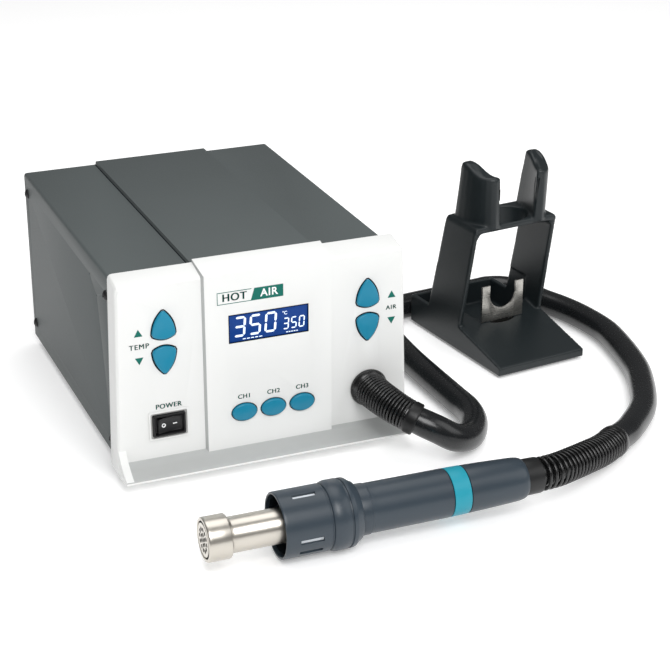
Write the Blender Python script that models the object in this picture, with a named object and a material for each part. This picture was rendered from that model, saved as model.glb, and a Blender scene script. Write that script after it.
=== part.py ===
# Hot air station: a bench unit, its handset and its handset stand, joined by an air hose.
# Metres, +Z up. Each sub-part is one object; moving parts have their origin on their joint's axis.
import math

import bmesh
import bpy
from mathutils import Matrix, Vector

# Driving dimensions. In the bench unit's own axes x runs right, y runs back, y = 0 is the
# front panel's face and z = 0 is the table.
FOOTPRINT_CENTRE = (0.0811, 0.0530)
GAP = 0.0003

PANEL_HALF_BOTTOM = 0.0940
PANEL_HALF_TOP = 0.0905
PANEL_LOW = 0.0070
PANEL_HIGH = 0.1310
PANEL_FACE_HIGH = 0.1275
PANEL_DEPTH = 0.0160
PANEL_WALL = 0.0030
PAD_LEFT = -0.0390
PAD_RIGHT = 0.0425
PAD_RISE = 0.0020
LIP_REACH = 0.0165

COVER_HALF = 0.0880
COVER_TOP = 0.1256
COVER_LOW = 0.0065
COVER_BACK = 0.2320
COVER_SHEET = 0.0012
RIDGE_LEFT = -0.0375
RIDGE_RIGHT = 0.0410
RIDGE_RISE = 0.0022
SCREW_PLACES = ((0.0300, 0.1123), (0.0330, 0.0165), (0.2240, 0.1133), (0.2245, 0.0181))

KEY_TEMP_X = -0.0627
KEY_AIR_X = 0.0670
KEY_UP_BASE = 0.0948
KEY_UP_TIP = 0.1107
KEY_DOWN_BASE = 0.0852
KEY_DOWN_TIP = 0.0697
KEY_HALF_WIDTH = 0.0074
CHANNEL_X = (-0.0144, 0.0043, 0.0230)
CHANNEL_Z = 0.0370
CHANNEL_RADII = (0.0079, 0.0056)

LCD_BOX = (-0.0232, 0.0276, 0.0831, 0.1013)
SWITCH_CENTRE = (-0.0616, 0.0368)
SWITCH_SIZE = (0.0210, 0.0146)

PORT_X = 0.0680
PORT_Z = 0.0380
HOSE_RADIUS = 0.00875
BOOT_LENGTH = 0.0377
BAND_LENGTH = 0.0058
RELIEF_LENGTH = 0.0845

BLOWER_X = 0.0430
BLOWER_Y = 0.1500
BLOWER_Z = 0.0240

HANDSET_TIP = (-0.0779, -0.1108, 0.01966)
HANDSET_HEADING = math.radians(-1.29)
HANDSET_RISE = math.radians(0.45)
HANDSET_LENGTH = 0.1935

STAND_FRONT = (0.22147, 0.05555)
STAND_TURN = math.radians(7.2)
STAND_HALF = 0.0350
STAND_DEPTH = 0.1140
STAND_BLOCK_HIGH = 0.0220
STAND_CREASE = 0.0620
STAND_LOW = 0.0015
STAND_DECK = 0.0962
STAND_TOP = 0.1364
STAND_DIP = 0.0066

# Points that the hose and its two strain reliefs follow, from the bench unit to the handset.
ROUTE = (
    (0.0680, 0.0300, 0.0380), (0.0680, 0.0100, 0.0380), (0.0682, -0.0060, 0.0378),
    (0.0712, -0.0180, 0.0360), (0.0765, -0.0290, 0.0330), (0.0840, -0.0375, 0.0292),
    (0.0950, -0.0440, 0.0236), (0.1070, -0.0450, 0.0162), (0.1215, -0.0360, 0.0106),
    (0.1330, -0.0185, 0.0092), (0.1380, 0.0000, 0.00885), (0.1378, 0.0200, 0.00885),
    (0.1370, 0.0550, 0.00885), (0.1368, 0.0880, 0.00885), (0.1385, 0.1200, 0.00885),
    (0.1430, 0.1480, 0.00885), (0.1530, 0.1660, 0.00885), (0.1683, 0.1735, 0.00885),
    (0.2060, 0.1783, 0.00885), (0.2358, 0.1820, 0.00885), (0.2440, 0.1827, 0.00885),
    (0.2560, 0.1775, 0.00885), (0.2645, 0.1630, 0.00885), (0.2710, 0.1430, 0.00885),
    (0.2770, 0.1270, 0.00885), (0.2815, 0.1090, 0.00885), (0.2842, 0.0860, 0.00885),
    (0.2832, 0.0660, 0.00885), (0.2750, 0.0270, 0.00885), (0.2650, -0.0010, 0.00885),
    (0.2450, -0.0370, 0.00900), (0.2200, -0.0630, 0.0098), (0.2040, -0.0745, 0.0108),
    (0.1850, -0.0885, 0.0132), (0.1670, -0.0995, 0.0166), (0.1510, -0.1078, 0.0190),
    (0.1410, -0.1124, 0.0203), (0.1335, -0.1147, 0.0211), (0.1262, -0.1154, 0.0213),
    (0.1130, -0.1151, 0.0212),
)

COLOURS = {
    "panel_white": ((0.80, 0.80, 0.78), 0.45, 0.0),
    "cover_grey": ((0.105, 0.130, 0.125), 0.50, 0.3),
    "steel": ((0.62, 0.60, 0.57), 0.30, 1.0),
    "zinc": ((0.55, 0.56, 0.57), 0.45, 1.0),
    "teal_key": ((0.020, 0.280, 0.480), 0.40, 0.0),
    "teal_band": ((0.025, 0.360, 0.450), 0.40, 0.0),
    "black": ((0.012, 0.012, 0.013), 0.45, 0.0),
    "rubber": ((0.015, 0.015, 0.016), 0.70, 0.0),
    "lcd_blue": ((0.010, 0.035, 0.350), 0.10, 0.0),
    "lens": ((0.02, 0.05, 0.40), 0.05, 0.0),
    "board_green": ((0.02, 0.16, 0.07), 0.50, 0.0),
    "slate": ((0.070, 0.092, 0.118), 0.45, 0.0),
    "stand_slate": ((0.035, 0.045, 0.050), 0.40, 0.0),
    "ceramic": ((0.75, 0.72, 0.66), 0.70, 0.0),
    "copper": ((0.60, 0.27, 0.12), 0.40, 1.0),
}


def clear_scene():
    for item in list(bpy.data.objects):
        bpy.data.objects.remove(item, do_unlink=True)


def add_empty(name, parent, place, turn=None):
    empty = bpy.data.objects.new(name, None)
    bpy.context.scene.collection.objects.link(empty)
    empty.parent = parent
    empty.location = place
    if turn is not None:
        empty.rotation_euler = turn
    return empty


def add_object(name, shape, parent, place=(0.0, 0.0, 0.0)):
    bmesh.ops.recalc_face_normals(shape, faces=shape.faces)
    mesh = bpy.data.meshes.new(name)
    shape.to_mesh(mesh)
    shape.free()
    piece = bpy.data.objects.new(name, mesh)
    bpy.context.scene.collection.objects.link(piece)
    piece.parent = parent
    piece.location = place
    return piece


def add_part(name, shape, colour, parent, place=(0.0, 0.0, 0.0), smooth=False):
    piece = add_object(name, shape, parent, place)
    piece.data.materials.append(finish(name, colour))
    if smooth:
        piece.data.shade_smooth()
        piece.data.set_sharp_from_angle(angle=math.radians(35.0))
    return piece


def finish(name, colour):
    rgb, roughness, metallic = COLOURS[colour]
    material = bpy.data.materials.new(name + "_finish")
    material.use_nodes = True
    shader = material.node_tree.nodes["Principled BSDF"]
    shader.inputs["Base Color"].default_value = (*rgb, 1.0)
    shader.inputs["Roughness"].default_value = roughness
    shader.inputs["Metallic"].default_value = metallic
    return material


def shape_tool(piece, name, shape, operation):
    # A hidden helper that is cut from the piece, or joined to it.
    tool = add_object(piece.name + "_" + name, shape, piece.parent, piece.location)
    tool.hide_render = True
    tool.display_type = "WIRE"
    boolean = piece.modifiers.new(name, "BOOLEAN")
    boolean.operation = operation
    boolean.object = tool
    return tool


def cut(piece, name, shape):
    return shape_tool(piece, name, shape, "DIFFERENCE")


def fuse(piece, name, shape):
    return shape_tool(piece, name, shape, "UNION")


def skin(rings, closed_ring=False):
    # Joins rings of equal length into one closed shape, capped unless the rings form a loop.
    shape = bmesh.new()
    loops = [[shape.verts.new(point) for point in ring] for ring in rings]
    count = len(loops[0])
    pairs = list(zip(loops, loops[1:]))
    if closed_ring:
        pairs.append((loops[-1], loops[0]))
    for near, far in pairs:
        for i in range(count):
            j = (i + 1) % count
            shape.faces.new((near[i], near[j], far[j], far[i]))
    if not closed_ring:
        shape.faces.new(loops[0])
        shape.faces.new(list(reversed(loops[-1])))
    return shape


def merged(*shapes):
    total = bmesh.new()
    for shape in shapes:
        mesh = bpy.data.meshes.new("merge")
        shape.to_mesh(mesh)
        shape.free()
        total.from_mesh(mesh)
        bpy.data.meshes.remove(mesh)
    return total


def block(low, high, bevel=0.0):
    shape = bmesh.new()
    bmesh.ops.create_cube(shape, size=1.0)
    size = [b - a for a, b in zip(low, high)]
    middle = [(a + b) / 2.0 for a, b in zip(low, high)]
    bmesh.ops.scale(shape, vec=size, verts=shape.verts)
    bmesh.ops.translate(shape, vec=middle, verts=shape.verts)
    if bevel > 0.0:
        bmesh.ops.bevel(shape, geom=list(shape.edges), offset=bevel, segments=1, affect="EDGES")
    return shape


def prism(outline, along, start, end):
    # Extrudes an outline given in the two axes other than the one it runs along.
    def place(point, depth):
        values = list(point)
        values.insert("xyz".index(along), depth)
        return values
    return skin([[place(p, start) for p in outline], [place(p, end) for p in outline]])


def arc(centre, radii, start, end, steps):
    points = []
    for i in range(steps + 1):
        angle = math.radians(start + (end - start) * i / steps)
        points.append((centre[0] + radii[0] * math.cos(angle), centre[1] + radii[1] * math.sin(angle)))
    return points


def circle(centre, radius, steps):
    return arc(centre, (radius, radius), 0.0, 360.0 - 360.0 / steps, steps - 1)


def ellipse(centre, radii, steps):
    return arc(centre, radii, 0.0, 360.0 - 360.0 / steps, steps - 1)


def rounded_outline(corners, radius, steps):
    # Rounds the corners of a convex outline, given anticlockwise.
    points = []
    count = len(corners)
    for i, corner in enumerate(corners):
        here = Vector(corner)
        before = (Vector(corners[i - 1]) - here).normalized() * radius
        after = (Vector(corners[(i + 1) % count]) - here).normalized() * radius
        for k in range(steps + 1):
            t = k / steps
            points.append(tuple(here + before * (1 - t) ** 2 + after * t ** 2))
    return points


def turned(profile, steps, axis="z"):
    # Turns a profile of (radius, station) points about an axis. A profile that starts and
    # ends on the axis is solid; any other is closed on itself, as a tube's wall.
    solid = profile[0][0] == 0.0 and profile[-1][0] == 0.0
    inner = profile[1:-1] if solid else profile
    rings = [[(r * math.cos(2 * math.pi * i / steps), r * math.sin(2 * math.pi * i / steps), s)
              for i in range(steps)] for r, s in inner]
    shape = skin(rings, closed_ring=not solid)
    if solid:
        ends = [f for f in shape.faces if len(f.verts) == steps and steps != 4]
        for face, station in zip(ends, (profile[0][1], profile[-1][1])):
            centre = bmesh.ops.poke(shape, faces=[face])["verts"][0]
            centre.co = (0.0, 0.0, station)
    if axis == "x":
        bmesh.ops.rotate(shape, cent=(0, 0, 0), matrix=Matrix.Rotation(math.pi / 2, 3, "Y"), verts=shape.verts)
    if axis == "y":
        bmesh.ops.rotate(shape, cent=(0, 0, 0), matrix=Matrix.Rotation(-math.pi / 2, 3, "X"), verts=shape.verts)
    return shape


def moved(shape, offset):
    bmesh.ops.translate(shape, vec=offset, verts=shape.verts)
    return shape


def smooth_route(points, samples):
    # Points along a Catmull-Rom curve through the route, evenly spaced along its length.
    knots = [Vector(p) for p in points]
    knots = [2 * knots[0] - knots[1]] + knots + [2 * knots[-1] - knots[-2]]
    fine = []
    for a, b, c, d in zip(knots, knots[1:], knots[2:], knots[3:]):
        for k in range(24):
            t = k / 24.0
            fine.append(0.5 * (2 * b + (c - a) * t + (2 * a - 5 * b + 4 * c - d) * t * t
                               + (3 * b - a - 3 * c + d) * t ** 3))
    fine.append(knots[-2])
    lengths = [0.0]
    for a, b in zip(fine, fine[1:]):
        lengths.append(lengths[-1] + (b - a).length)

    def at(distance):
        distance = min(max(distance, 0.0), lengths[-1])
        for i in range(len(fine) - 1):
            if distance <= lengths[i + 1]:
                share = (distance - lengths[i]) / (lengths[i + 1] - lengths[i])
                return fine[i].lerp(fine[i + 1], share)
        return fine[-1]
    if samples:
        return [at(lengths[-1] * i / samples) for i in range(samples + 1)]
    return at, lengths[-1]


def swept(at, stations, steps):
    # A round body along the route: stations are (distance, radius), which may step back to
    # run down a bore, and the last ring joins the first.
    rings = []
    for distance, radius in stations:
        centre = at(distance)
        heading = (at(distance + 0.0008) - at(distance - 0.0008)).normalized()
        side = heading.cross(Vector((0, 0, 1))).normalized()
        lift = side.cross(heading)
        rings.append([centre + radius * (math.cos(2 * math.pi * i / steps) * side
                                         + math.sin(2 * math.pi * i / steps) * lift)
                      for i in range(steps)])
    return rings


def bulged_key(centre_x, base_z, tip_z, grow=0.0):
    # The outline of a temperature or air key: a triangle with bulging sides.
    half = KEY_HALF_WIDTH
    sign = 1.0 if tip_z > base_z else -1.0
    corners = [Vector((centre_x - half, base_z)), Vector((centre_x + half, base_z)),
               Vector((centre_x, tip_z))]
    bulges = (0.0026, 0.0019, 0.0019)
    centroid = (corners[0] + corners[1] + corners[2]) / 3.0
    points = []
    for i in range(3):
        a, b = corners[i], corners[(i + 1) % 3]
        middle = (a + b) / 2.0
        outward = (middle - centroid).normalized()
        for k in range(5):
            t = (k + 0.5) / 5.0
            points.append(a.lerp(b, t) + outward * bulges[i] * 4.0 * t * (1.0 - t))
    if sign < 0:
        points.reverse()
    return [tuple(p + (p - centroid).normalized() * grow) for p in points]


def panel_ring(y, half_bottom, half_top, low, high, radius):
    corners = [(-half_bottom, low), (half_bottom, low), (half_top, high), (-half_top, high)]
    return [(x, y, z) for x, z in rounded_outline(corners, radius, 3)]


def build_front_panel(bench):
    outer = skin([panel_ring(PANEL_DEPTH, PANEL_HALF_BOTTOM, PANEL_HALF_TOP, PANEL_LOW, PANEL_HIGH, 0.0030),
                  panel_ring(0.0012, PANEL_HALF_BOTTOM, PANEL_HALF_TOP, PANEL_LOW, PANEL_FACE_HIGH, 0.0030),
                  panel_ring(0.0, PANEL_HALF_BOTTOM - 0.0012, PANEL_HALF_TOP - 0.0012, PANEL_LOW + 0.0012,
                             PANEL_FACE_HIGH - 0.0012, 0.0030)])
    panel = add_part("front_panel", outer, "panel_white", bench)
    pad = [(0.0080, 0.0139), (-PAD_RISE, 0.0139), (-PAD_RISE, PANEL_FACE_HIGH + 0.0005),
           (PANEL_DEPTH - 0.0001, PANEL_HIGH + PAD_RISE), (PANEL_DEPTH - 0.0001, 0.1200), (0.0080, 0.1200)]
    fuse(panel, "pad", prism(pad, "x", PAD_LEFT, PAD_RIGHT))
    lip = [(0.0040, 0.0073), (0.0020, 0.0073), (-0.0145, 0.0086), (-LIP_REACH, 0.0091), (-LIP_REACH, 0.0102),
           (-0.0140, 0.0113), (-0.0080, 0.0119), (-0.0035, 0.0132), (0.0000, 0.0157), (0.0040, 0.0157)]
    fuse(panel, "lip", prism(lip, "x", -0.0936, 0.0936))
    cheek = [(0.0030, 0.0075), (-0.0140, 0.0089), (-0.0158, 0.0106), (-0.0110, 0.0132), (-0.0050, 0.0175),
             (0.0003, 0.0240), (0.0030, 0.0240)]
    for name, start, end in (("cheek_left", -0.0934, -0.0888), ("cheek_right", 0.0888, 0.0934)):
        fuse(panel, name, prism(cheek, "x", start, end))
    wall = PANEL_WALL
    hollow = skin([panel_ring(PANEL_DEPTH + 0.001, PANEL_HALF_BOTTOM - wall, PANEL_HALF_TOP - wall,
                              PANEL_LOW + wall, PANEL_HIGH - wall - 0.0005, 0.0015),
                   panel_ring(0.0030, PANEL_HALF_BOTTOM - wall, PANEL_HALF_TOP - wall,
                              PANEL_LOW + wall + 0.004, PANEL_FACE_HIGH - wall - 0.001, 0.0015)])
    cut(panel, "hollow", hollow)
    left, right, low, high = LCD_BOX
    openings = [prism([(left, low), (right, low), (right, high), (left, high)], "y", -0.01, 0.01)]
    for x in (KEY_TEMP_X, KEY_AIR_X):
        openings.append(prism(bulged_key(x, KEY_UP_BASE, KEY_UP_TIP, 0.0004), "y", -0.01, 0.01))
        openings.append(prism(bulged_key(x, KEY_DOWN_BASE, KEY_DOWN_TIP, 0.0004), "y", -0.01, 0.01))
    for x in CHANNEL_X:
        radii = (CHANNEL_RADII[0] + 0.0004, CHANNEL_RADII[1] + 0.0004)
        openings.append(prism(ellipse((x, CHANNEL_Z), radii, 20), "y", -0.01, 0.01))
    half_x, half_z = SWITCH_SIZE[0] / 2 - 0.0010, SWITCH_SIZE[1] / 2 - 0.0010
    x, z = SWITCH_CENTRE
    openings.append(block((x - half_x, -0.01, z - half_z), (x + half_x, 0.01, z + half_z)))
    openings.append(prism(circle((PORT_X, PORT_Z), 0.0098, 24), "y", -0.01, 0.01))
    cut(panel, "openings", merged(*openings))


def build_cover(bench):
    front = PANEL_DEPTH + GAP
    sheet = COVER_SHEET

    def outline(inset):
        half = COVER_HALF - inset
        top = COVER_TOP - inset
        round_out = 0.0020 - 0.5 * inset
        points = [(-half, COVER_LOW)]
        points += arc((-half + round_out, top - round_out), (round_out, round_out), 180, 90, 3)
        points += [(RIDGE_LEFT - 0.0004 + inset * 0.8, top), (RIDGE_LEFT + inset * 0.9, top + RIDGE_RISE)]
        points += [(RIDGE_RIGHT - inset * 0.9, top + RIDGE_RISE), (RIDGE_RIGHT + 0.0004 - inset * 0.8, top)]
        points += arc((half - round_out, top - round_out), (round_out, round_out), 90, 0, 3)
        points.append((half, COVER_LOW))
        return points
    profile = outline(0.0) + list(reversed(outline(sheet)))
    cover = add_part("cover", prism(profile, "y", front, COVER_BACK), "cover_grey", bench)
    holes = []
    for side in (-1, 1):
        x = side * COVER_HALF
        for y, z in SCREW_PLACES:
            holes.append(moved(turned([(0.0, -0.004), (0.0018, -0.004), (0.0018, 0.004), (0.0, 0.004)], 12, "x"),
                               (x, y, z)))
        for y, z in ((0.0661, 0.1128), (0.0517, 0.1040)):
            holes.append(moved(turned([(0.0, -0.003), (0.0007, -0.003), (0.0007, 0.003), (0.0, 0.003)], 8, "x"),
                               (x, y, z)))
    cut(cover, "holes", merged(*holes))


def build_cover_screws(bench):
    # Pan heads on the cover's two sides, with the shank through the sheet into the tray's tabs.
    profile = [(0.0, -0.0028), (0.0015, -0.0028), (0.0015, 0.0003), (0.0032, 0.0003), (0.0030, 0.0014),
               (0.0018, 0.0022), (0.0, 0.0023)]
    for side, label in ((-1, "left"), (1, "right")):
        for i, (y, z) in enumerate(SCREW_PLACES):
            shape = turned(profile, 10, "x")
            if side < 0:
                bmesh.ops.rotate(shape, cent=(0, 0, 0), matrix=Matrix.Rotation(math.pi, 3, "Z"), verts=shape.verts)
            moved(shape, (side * COVER_HALF, y, z))
            add_part("cover_screw_%s_%d" % (label, i + 1), shape, "black", bench, smooth=True)


def build_tray(bench):
    # The steel bottom tray, with low sides inside the cover, and a front sill.
    half = COVER_HALF - COVER_SHEET - 0.0004
    low, sheet, side_high = 0.0075, 0.0012, 0.0135
    profile = [(-half, low), (half, low), (half, side_high), (half - sheet, side_high),
               (half - sheet, low + sheet), (-half + sheet, low + sheet), (-half + sheet, side_high),
               (-half, side_high)]
    tray = add_part("chassis_tray", prism(profile, "y", PANEL_DEPTH + 0.001, COVER_BACK - 0.0035), "zinc", bench)
    slots = [block((-0.050 + 0.012 * i, 0.040, 0.005), (-0.046 + 0.012 * i, 0.075, 0.010)) for i in range(8)]
    cut(tray, "vents", merged(*slots))


def build_rear_panel(bench):
    half = COVER_HALF - COVER_SHEET - 0.0004
    back = COVER_BACK - 0.0016
    panel = add_part("rear_panel", block((-half, back - 0.0015, 0.0092), (half, back, COVER_TOP - 0.0018)),
                     "cover_grey", bench)
    holes = [block((-0.0700 + 0.007 * i, back - 0.005, 0.070), (-0.0668 + 0.007 * i, back + 0.005, 0.108))
             for i in range(12)]
    holes.append(block((0.0380, back - 0.005, 0.0250), (0.0656, back + 0.005, 0.0450)))
    holes.append(moved(turned([(0.0, -0.01), (0.0063, -0.01), (0.0063, 0.01), (0.0, 0.01)], 20, "y"),
                       (0.0150, back, 0.0350)))
    holes.append(moved(turned([(0.0, -0.01), (0.0032, -0.01), (0.0032, 0.01), (0.0, 0.01)], 16, "y"),
                       (-0.0550, back, 0.0350)))
    cut(panel, "holes", merged(*holes))
    build_rear_fittings(bench, back)


def build_rear_fittings(bench, back):
    # The mains inlet, without its lead, the fuse holder and the earth terminal.
    inlet = add_part("mains_inlet", block((0.0350, back + GAP, 0.0220), (0.0686, back + 0.0035, 0.0480), 0.0006),
                     "black", bench)
    fuse(inlet, "body", block((0.0384, back - 0.0160, 0.0254), (0.0652, back + 0.0020, 0.0446)))
    cut(inlet, "socket", block((0.0400, back - 0.0130, 0.0270), (0.0636, back + 0.0060, 0.0430)))
    fuse(inlet, "pins", merged(*[block((x - 0.0010, back - 0.0145, z - 0.0020), (x + 0.0010, back - 0.0010, z + 0.0020))
                                 for x, z in ((0.0448, 0.0330), (0.0588, 0.0330), (0.0518, 0.0375))]))
    profile = [(0.0, -0.0180), (0.0058, -0.0180), (0.0058, GAP), (0.0078, GAP), (0.0078, 0.0040),
               (0.0060, 0.0055), (0.0060, 0.0085), (0.0, 0.0085)]
    add_part("fuse_holder", moved(turned(profile, 20, "y"), (0.0150, back, 0.0350)), "black", bench, smooth=True)
    profile = [(0.0, -0.0080), (0.0029, -0.0080), (0.0029, GAP), (0.0050, GAP), (0.0050, 0.0070),
               (0.0020, 0.0070), (0.0020, 0.0010), (0.0, 0.0010)]
    add_part("earth_terminal", moved(turned(profile, 16, "y"), (-0.0550, back, 0.0350)), "steel", bench,
             smooth=True)


def build_feet(bench):
    profile = [(0.0, 0.0), (0.0070, 0.0), (0.0080, 0.0010), (0.0088, 0.0072), (0.0, 0.0072)]
    for name, x, y in (("front_left", -0.070, 0.030), ("front_right", 0.070, 0.030),
                       ("back_left", -0.070, 0.210), ("back_right", 0.070, 0.210)):
        add_part("foot_" + name, moved(turned(profile, 20), (x, y, 0.0)), "rubber", bench, smooth=True)


def build_display(bench):
    left, right, low, high = LCD_BOX
    edge = GAP
    add_part("lcd_window", block((left + edge, -0.0016, low + edge), (right - edge, 0.0006, high - edge)),
             "lens", bench)
    add_part("lcd_module", block((left - 0.0020, 0.0034, low - 0.0030), (right + 0.0020, 0.0080, high + 0.0030)),
             "lcd_blue", bench)
    outline = [(-0.0780, 0.0560), (-0.0300, 0.0560), (-0.0300, 0.0280), (0.0340, 0.0280), (0.0340, 0.0560),
               (0.0800, 0.0560), (0.0800, 0.1160), (-0.0780, 0.1160)]
    add_part("key_board", prism(outline, "y", 0.0084, 0.0100), "board_green", bench)


def build_keys(bench):
    # Every key slides straight back by its travel. Each has a flange behind the panel.
    plates = (("temp_up_key", KEY_TEMP_X, KEY_UP_BASE, KEY_UP_TIP),
              ("temp_down_key", KEY_TEMP_X, KEY_DOWN_BASE, KEY_DOWN_TIP),
              ("air_up_key", KEY_AIR_X, KEY_UP_BASE, KEY_UP_TIP),
              ("air_down_key", KEY_AIR_X, KEY_DOWN_BASE, KEY_DOWN_TIP))
    for name, x, base, tip in plates:
        middle = (base + tip) / 2.0
        outlines = [(-0.0022, -0.0014), (-0.0015, -0.0002), (0.0062, -0.0002)]
        rings = [[(px - x, y, pz - middle) for px, pz in bulged_key(x, base, tip, grow)] for y, grow in outlines]
        add_part(name, skin(rings), "teal_key", bench, (x, 0.0, middle))
    for i, x in enumerate(CHANNEL_X):
        rings = []
        for y, shrink in ((-0.0040, 0.0012), (-0.0033, 0.0002), (0.0062, 0.0002)):
            outline = ellipse((0.0, 0.0), (CHANNEL_RADII[0] - shrink, CHANNEL_RADII[1] - shrink), 20)
            rings.append([(px, y, pz) for px, pz in outline])
        add_part("channel_key_%d" % (i + 1), skin(rings), "teal_key", bench, (x, 0.0, CHANNEL_Z), smooth=True)


def build_switch(bench):
    x, z = SWITCH_CENTRE
    half_x, half_z = SWITCH_SIZE[0] / 2, SWITCH_SIZE[1] / 2
    frame = add_part("switch_housing", block((x - half_x, -0.0021, z - half_z), (x + half_x, -GAP, z + half_z), 0.0004),
                     "black", bench)
    fuse(frame, "body", block((x - half_x + 0.0014, -0.0012, z - half_z + 0.0014),
                              (x + half_x - 0.0014, 0.0081, z + half_z - 0.0014)))
    cut(frame, "well", block((x - half_x + 0.0022, -0.0050, z - half_z + 0.0022),
                             (x + half_x - 0.0022, 0.0070, z + half_z - 0.0022)))
    # The rocker turns about a vertical pin in the well's middle; its right end is the one pressed in.
    reach, deep = half_x - 0.0031, half_z - 0.0026
    tilt = math.radians(-7.0)
    outline = [(-reach, -0.0012), (0.0, -0.0012), (reach, -0.0012), (reach * 0.55, 0.0030), (0.0, 0.0042),
               (-reach * 0.55, 0.0030)]
    turned_outline = []
    for px, py in outline:
        turned_outline.append((px * math.cos(tilt) + py * math.sin(tilt), -px * math.sin(tilt) + py * math.cos(tilt)))
    add_part("power_rocker", prism(turned_outline, "z", -deep, deep), "black", bench, (x, 0.0, z))


def build_electronics(bench):
    board = add_part("main_board", block((-0.0800, 0.0700, 0.0150), (0.0050, 0.1850, 0.0166)), "board_green", bench)
    parts = [block((x - 0.003, y - 0.003, 0.0090), (x + 0.003, y + 0.003, 0.0155))
             for x in (-0.076, 0.001) for y in (0.074, 0.181)]
    parts += [moved(turned([(0.0, 0.0), (0.0080, 0.0), (0.0080, 0.0260), (0.0, 0.0260)], 16), (x, 0.0850, 0.0160))
              for x in (-0.0680, -0.0480)]
    parts += [block((-0.0250, 0.0800, 0.0160), (-0.0050, 0.0950, 0.0310)),
              block((-0.0700, 0.1150, 0.0160), (-0.0500, 0.1350, 0.0220))]
    fuse(board, "components", merged(*parts))
    fins = [block((-0.0380 + 0.006 * i, 0.1060, 0.0225), (-0.0360 + 0.006 * i, 0.1500, 0.0480)) for i in range(7)]
    sink = add_part("heat_sink", block((-0.0385, 0.1055, 0.0169), (0.0005, 0.1505, 0.0230)), "zinc", bench)
    fuse(sink, "fins", merged(*fins))
    core = add_part("transformer", block((-0.0780, 0.1895, 0.0091), (-0.0240, 0.2190, 0.0560), 0.0010), "zinc", bench)
    fuse(core, "coil", block((-0.0660, 0.1865, 0.0180), (-0.0360, 0.2220, 0.0480), 0.0020))


def build_blower(bench):
    x, y, z = BLOWER_X, BLOWER_Y, BLOWER_Z
    drum = [(0.0, z), (0.0350, z), (0.0350, z + 0.028), (0.0, z + 0.028)]
    housing = add_part("blower_housing", moved(turned(drum, 32), (x, y, 0.0)), "black", bench, smooth=True)
    fuse(housing, "outlet", block((PORT_X - 0.0120, 0.0980, z + 0.002), (PORT_X + 0.0098, y, z + 0.026)))
    cut(housing, "scroll", moved(turned([(0.0, z + 0.002), (0.0325, z + 0.002), (0.0325, z + 0.0255), (0.0, z + 0.0255)],
                                        32), (x, y, 0.0)))
    cut(housing, "throat", block((PORT_X - 0.0098, 0.0970, z + 0.0043), (PORT_X + 0.0074, y - 0.0040, z + 0.0237)))
    cut(housing, "inlet", moved(turned([(0.0, z + 0.020), (0.0160, z + 0.020), (0.0160, z + 0.032), (0.0, z + 0.032)],
                                       24), (x, y, 0.0)))
    cut(housing, "shaft_hole", moved(turned([(0.0, z - 0.004), (0.0035, z - 0.004), (0.0035, z + 0.004), (0.0, z + 0.004)],
                                            16), (x, y, 0.0)))
    disc = [(0.0024, 0.0035), (0.0290, 0.0035), (0.0290, 0.0050), (0.0070, 0.0050), (0.0070, 0.0180),
            (0.0024, 0.0180)]
    impeller = add_part("blower_impeller", turned(disc, 24), "panel_white", bench, (x, y, z), smooth=True)
    blades = []
    for i in range(12):
        blade = block((0.0140, -0.0006, 0.0045), (0.0280, 0.0006, 0.0190))
        bmesh.ops.rotate(blade, cent=(0, 0, 0), matrix=Matrix.Rotation(math.radians(30.0 * i + 7.0), 3, "Z"),
                         verts=blade.verts)
        blades.append(blade)
    fuse(impeller, "blades", merged(*blades))
    shaft = [(0.0, 0.0091), (0.0150, 0.0091), (0.0150, z - GAP), (0.0020, z - GAP), (0.0020, z + 0.0150),
             (0.0, z + 0.0150)]
    add_part("blower_motor", moved(turned(shaft, 24), (x, y, 0.0)), "zinc", bench, smooth=True)
    duct = [(0.0085, 0.0190), (0.0105, 0.0190), (0.0105, 0.0230), (0.0098, 0.0230), (0.0098, 0.0930),
            (0.0105, 0.0930), (0.0105, 0.0977), (0.0085, 0.0977)]
    add_part("air_duct", moved(turned(duct, 20, "y"), (PORT_X, 0.0, PORT_Z)), "black", bench, smooth=True)


def build_hose_port(bench):
    # The boot: a spigot in the duct, a flared collar on the panel's face and a ribbed sleeve.
    at, total = smooth_route(ROUTE, 0)
    face = 0.0300
    stations = [(0.0055, 0.0075), (face - 0.0018, 0.0075), (face - 0.0018, 0.0092), (face + GAP, 0.0092),
                (face + GAP, 0.0120), (face + 0.0020, 0.0118), (face + 0.0035, 0.0104)]
    start, end = face + 0.0045, face + BOOT_LENGTH
    ribs = 8
    pitch = (end - start) / ribs
    for i in range(ribs):
        stations += [(start + pitch * i, 0.0093), (start + pitch * (i + 0.35), 0.0103),
                     (start + pitch * (i + 0.75), 0.0103)]
    stations += [(end, 0.0093), (end, 0.0072), (face + 0.026, 0.0072), (face + 0.013, 0.0072), (face, 0.0060),
                 (0.0055, 0.0060)]
    add_part("hose_boot", skin(swept(at, stations, 14), closed_ring=True), "rubber", bench)
    band_start = end + GAP
    band_end = band_start + BAND_LENGTH
    band = [(band_start, 0.0080), (band_start, 0.0103), (band_start + 0.0008, 0.0106),
            (band_end - 0.0008, 0.0106), (band_end, 0.0102), (band_end, 0.0080)]
    add_part("hose_boot_band", skin(swept(at, band, 14), closed_ring=True), "black", bench)
    return at, band_end + 2 * GAP, total


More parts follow.
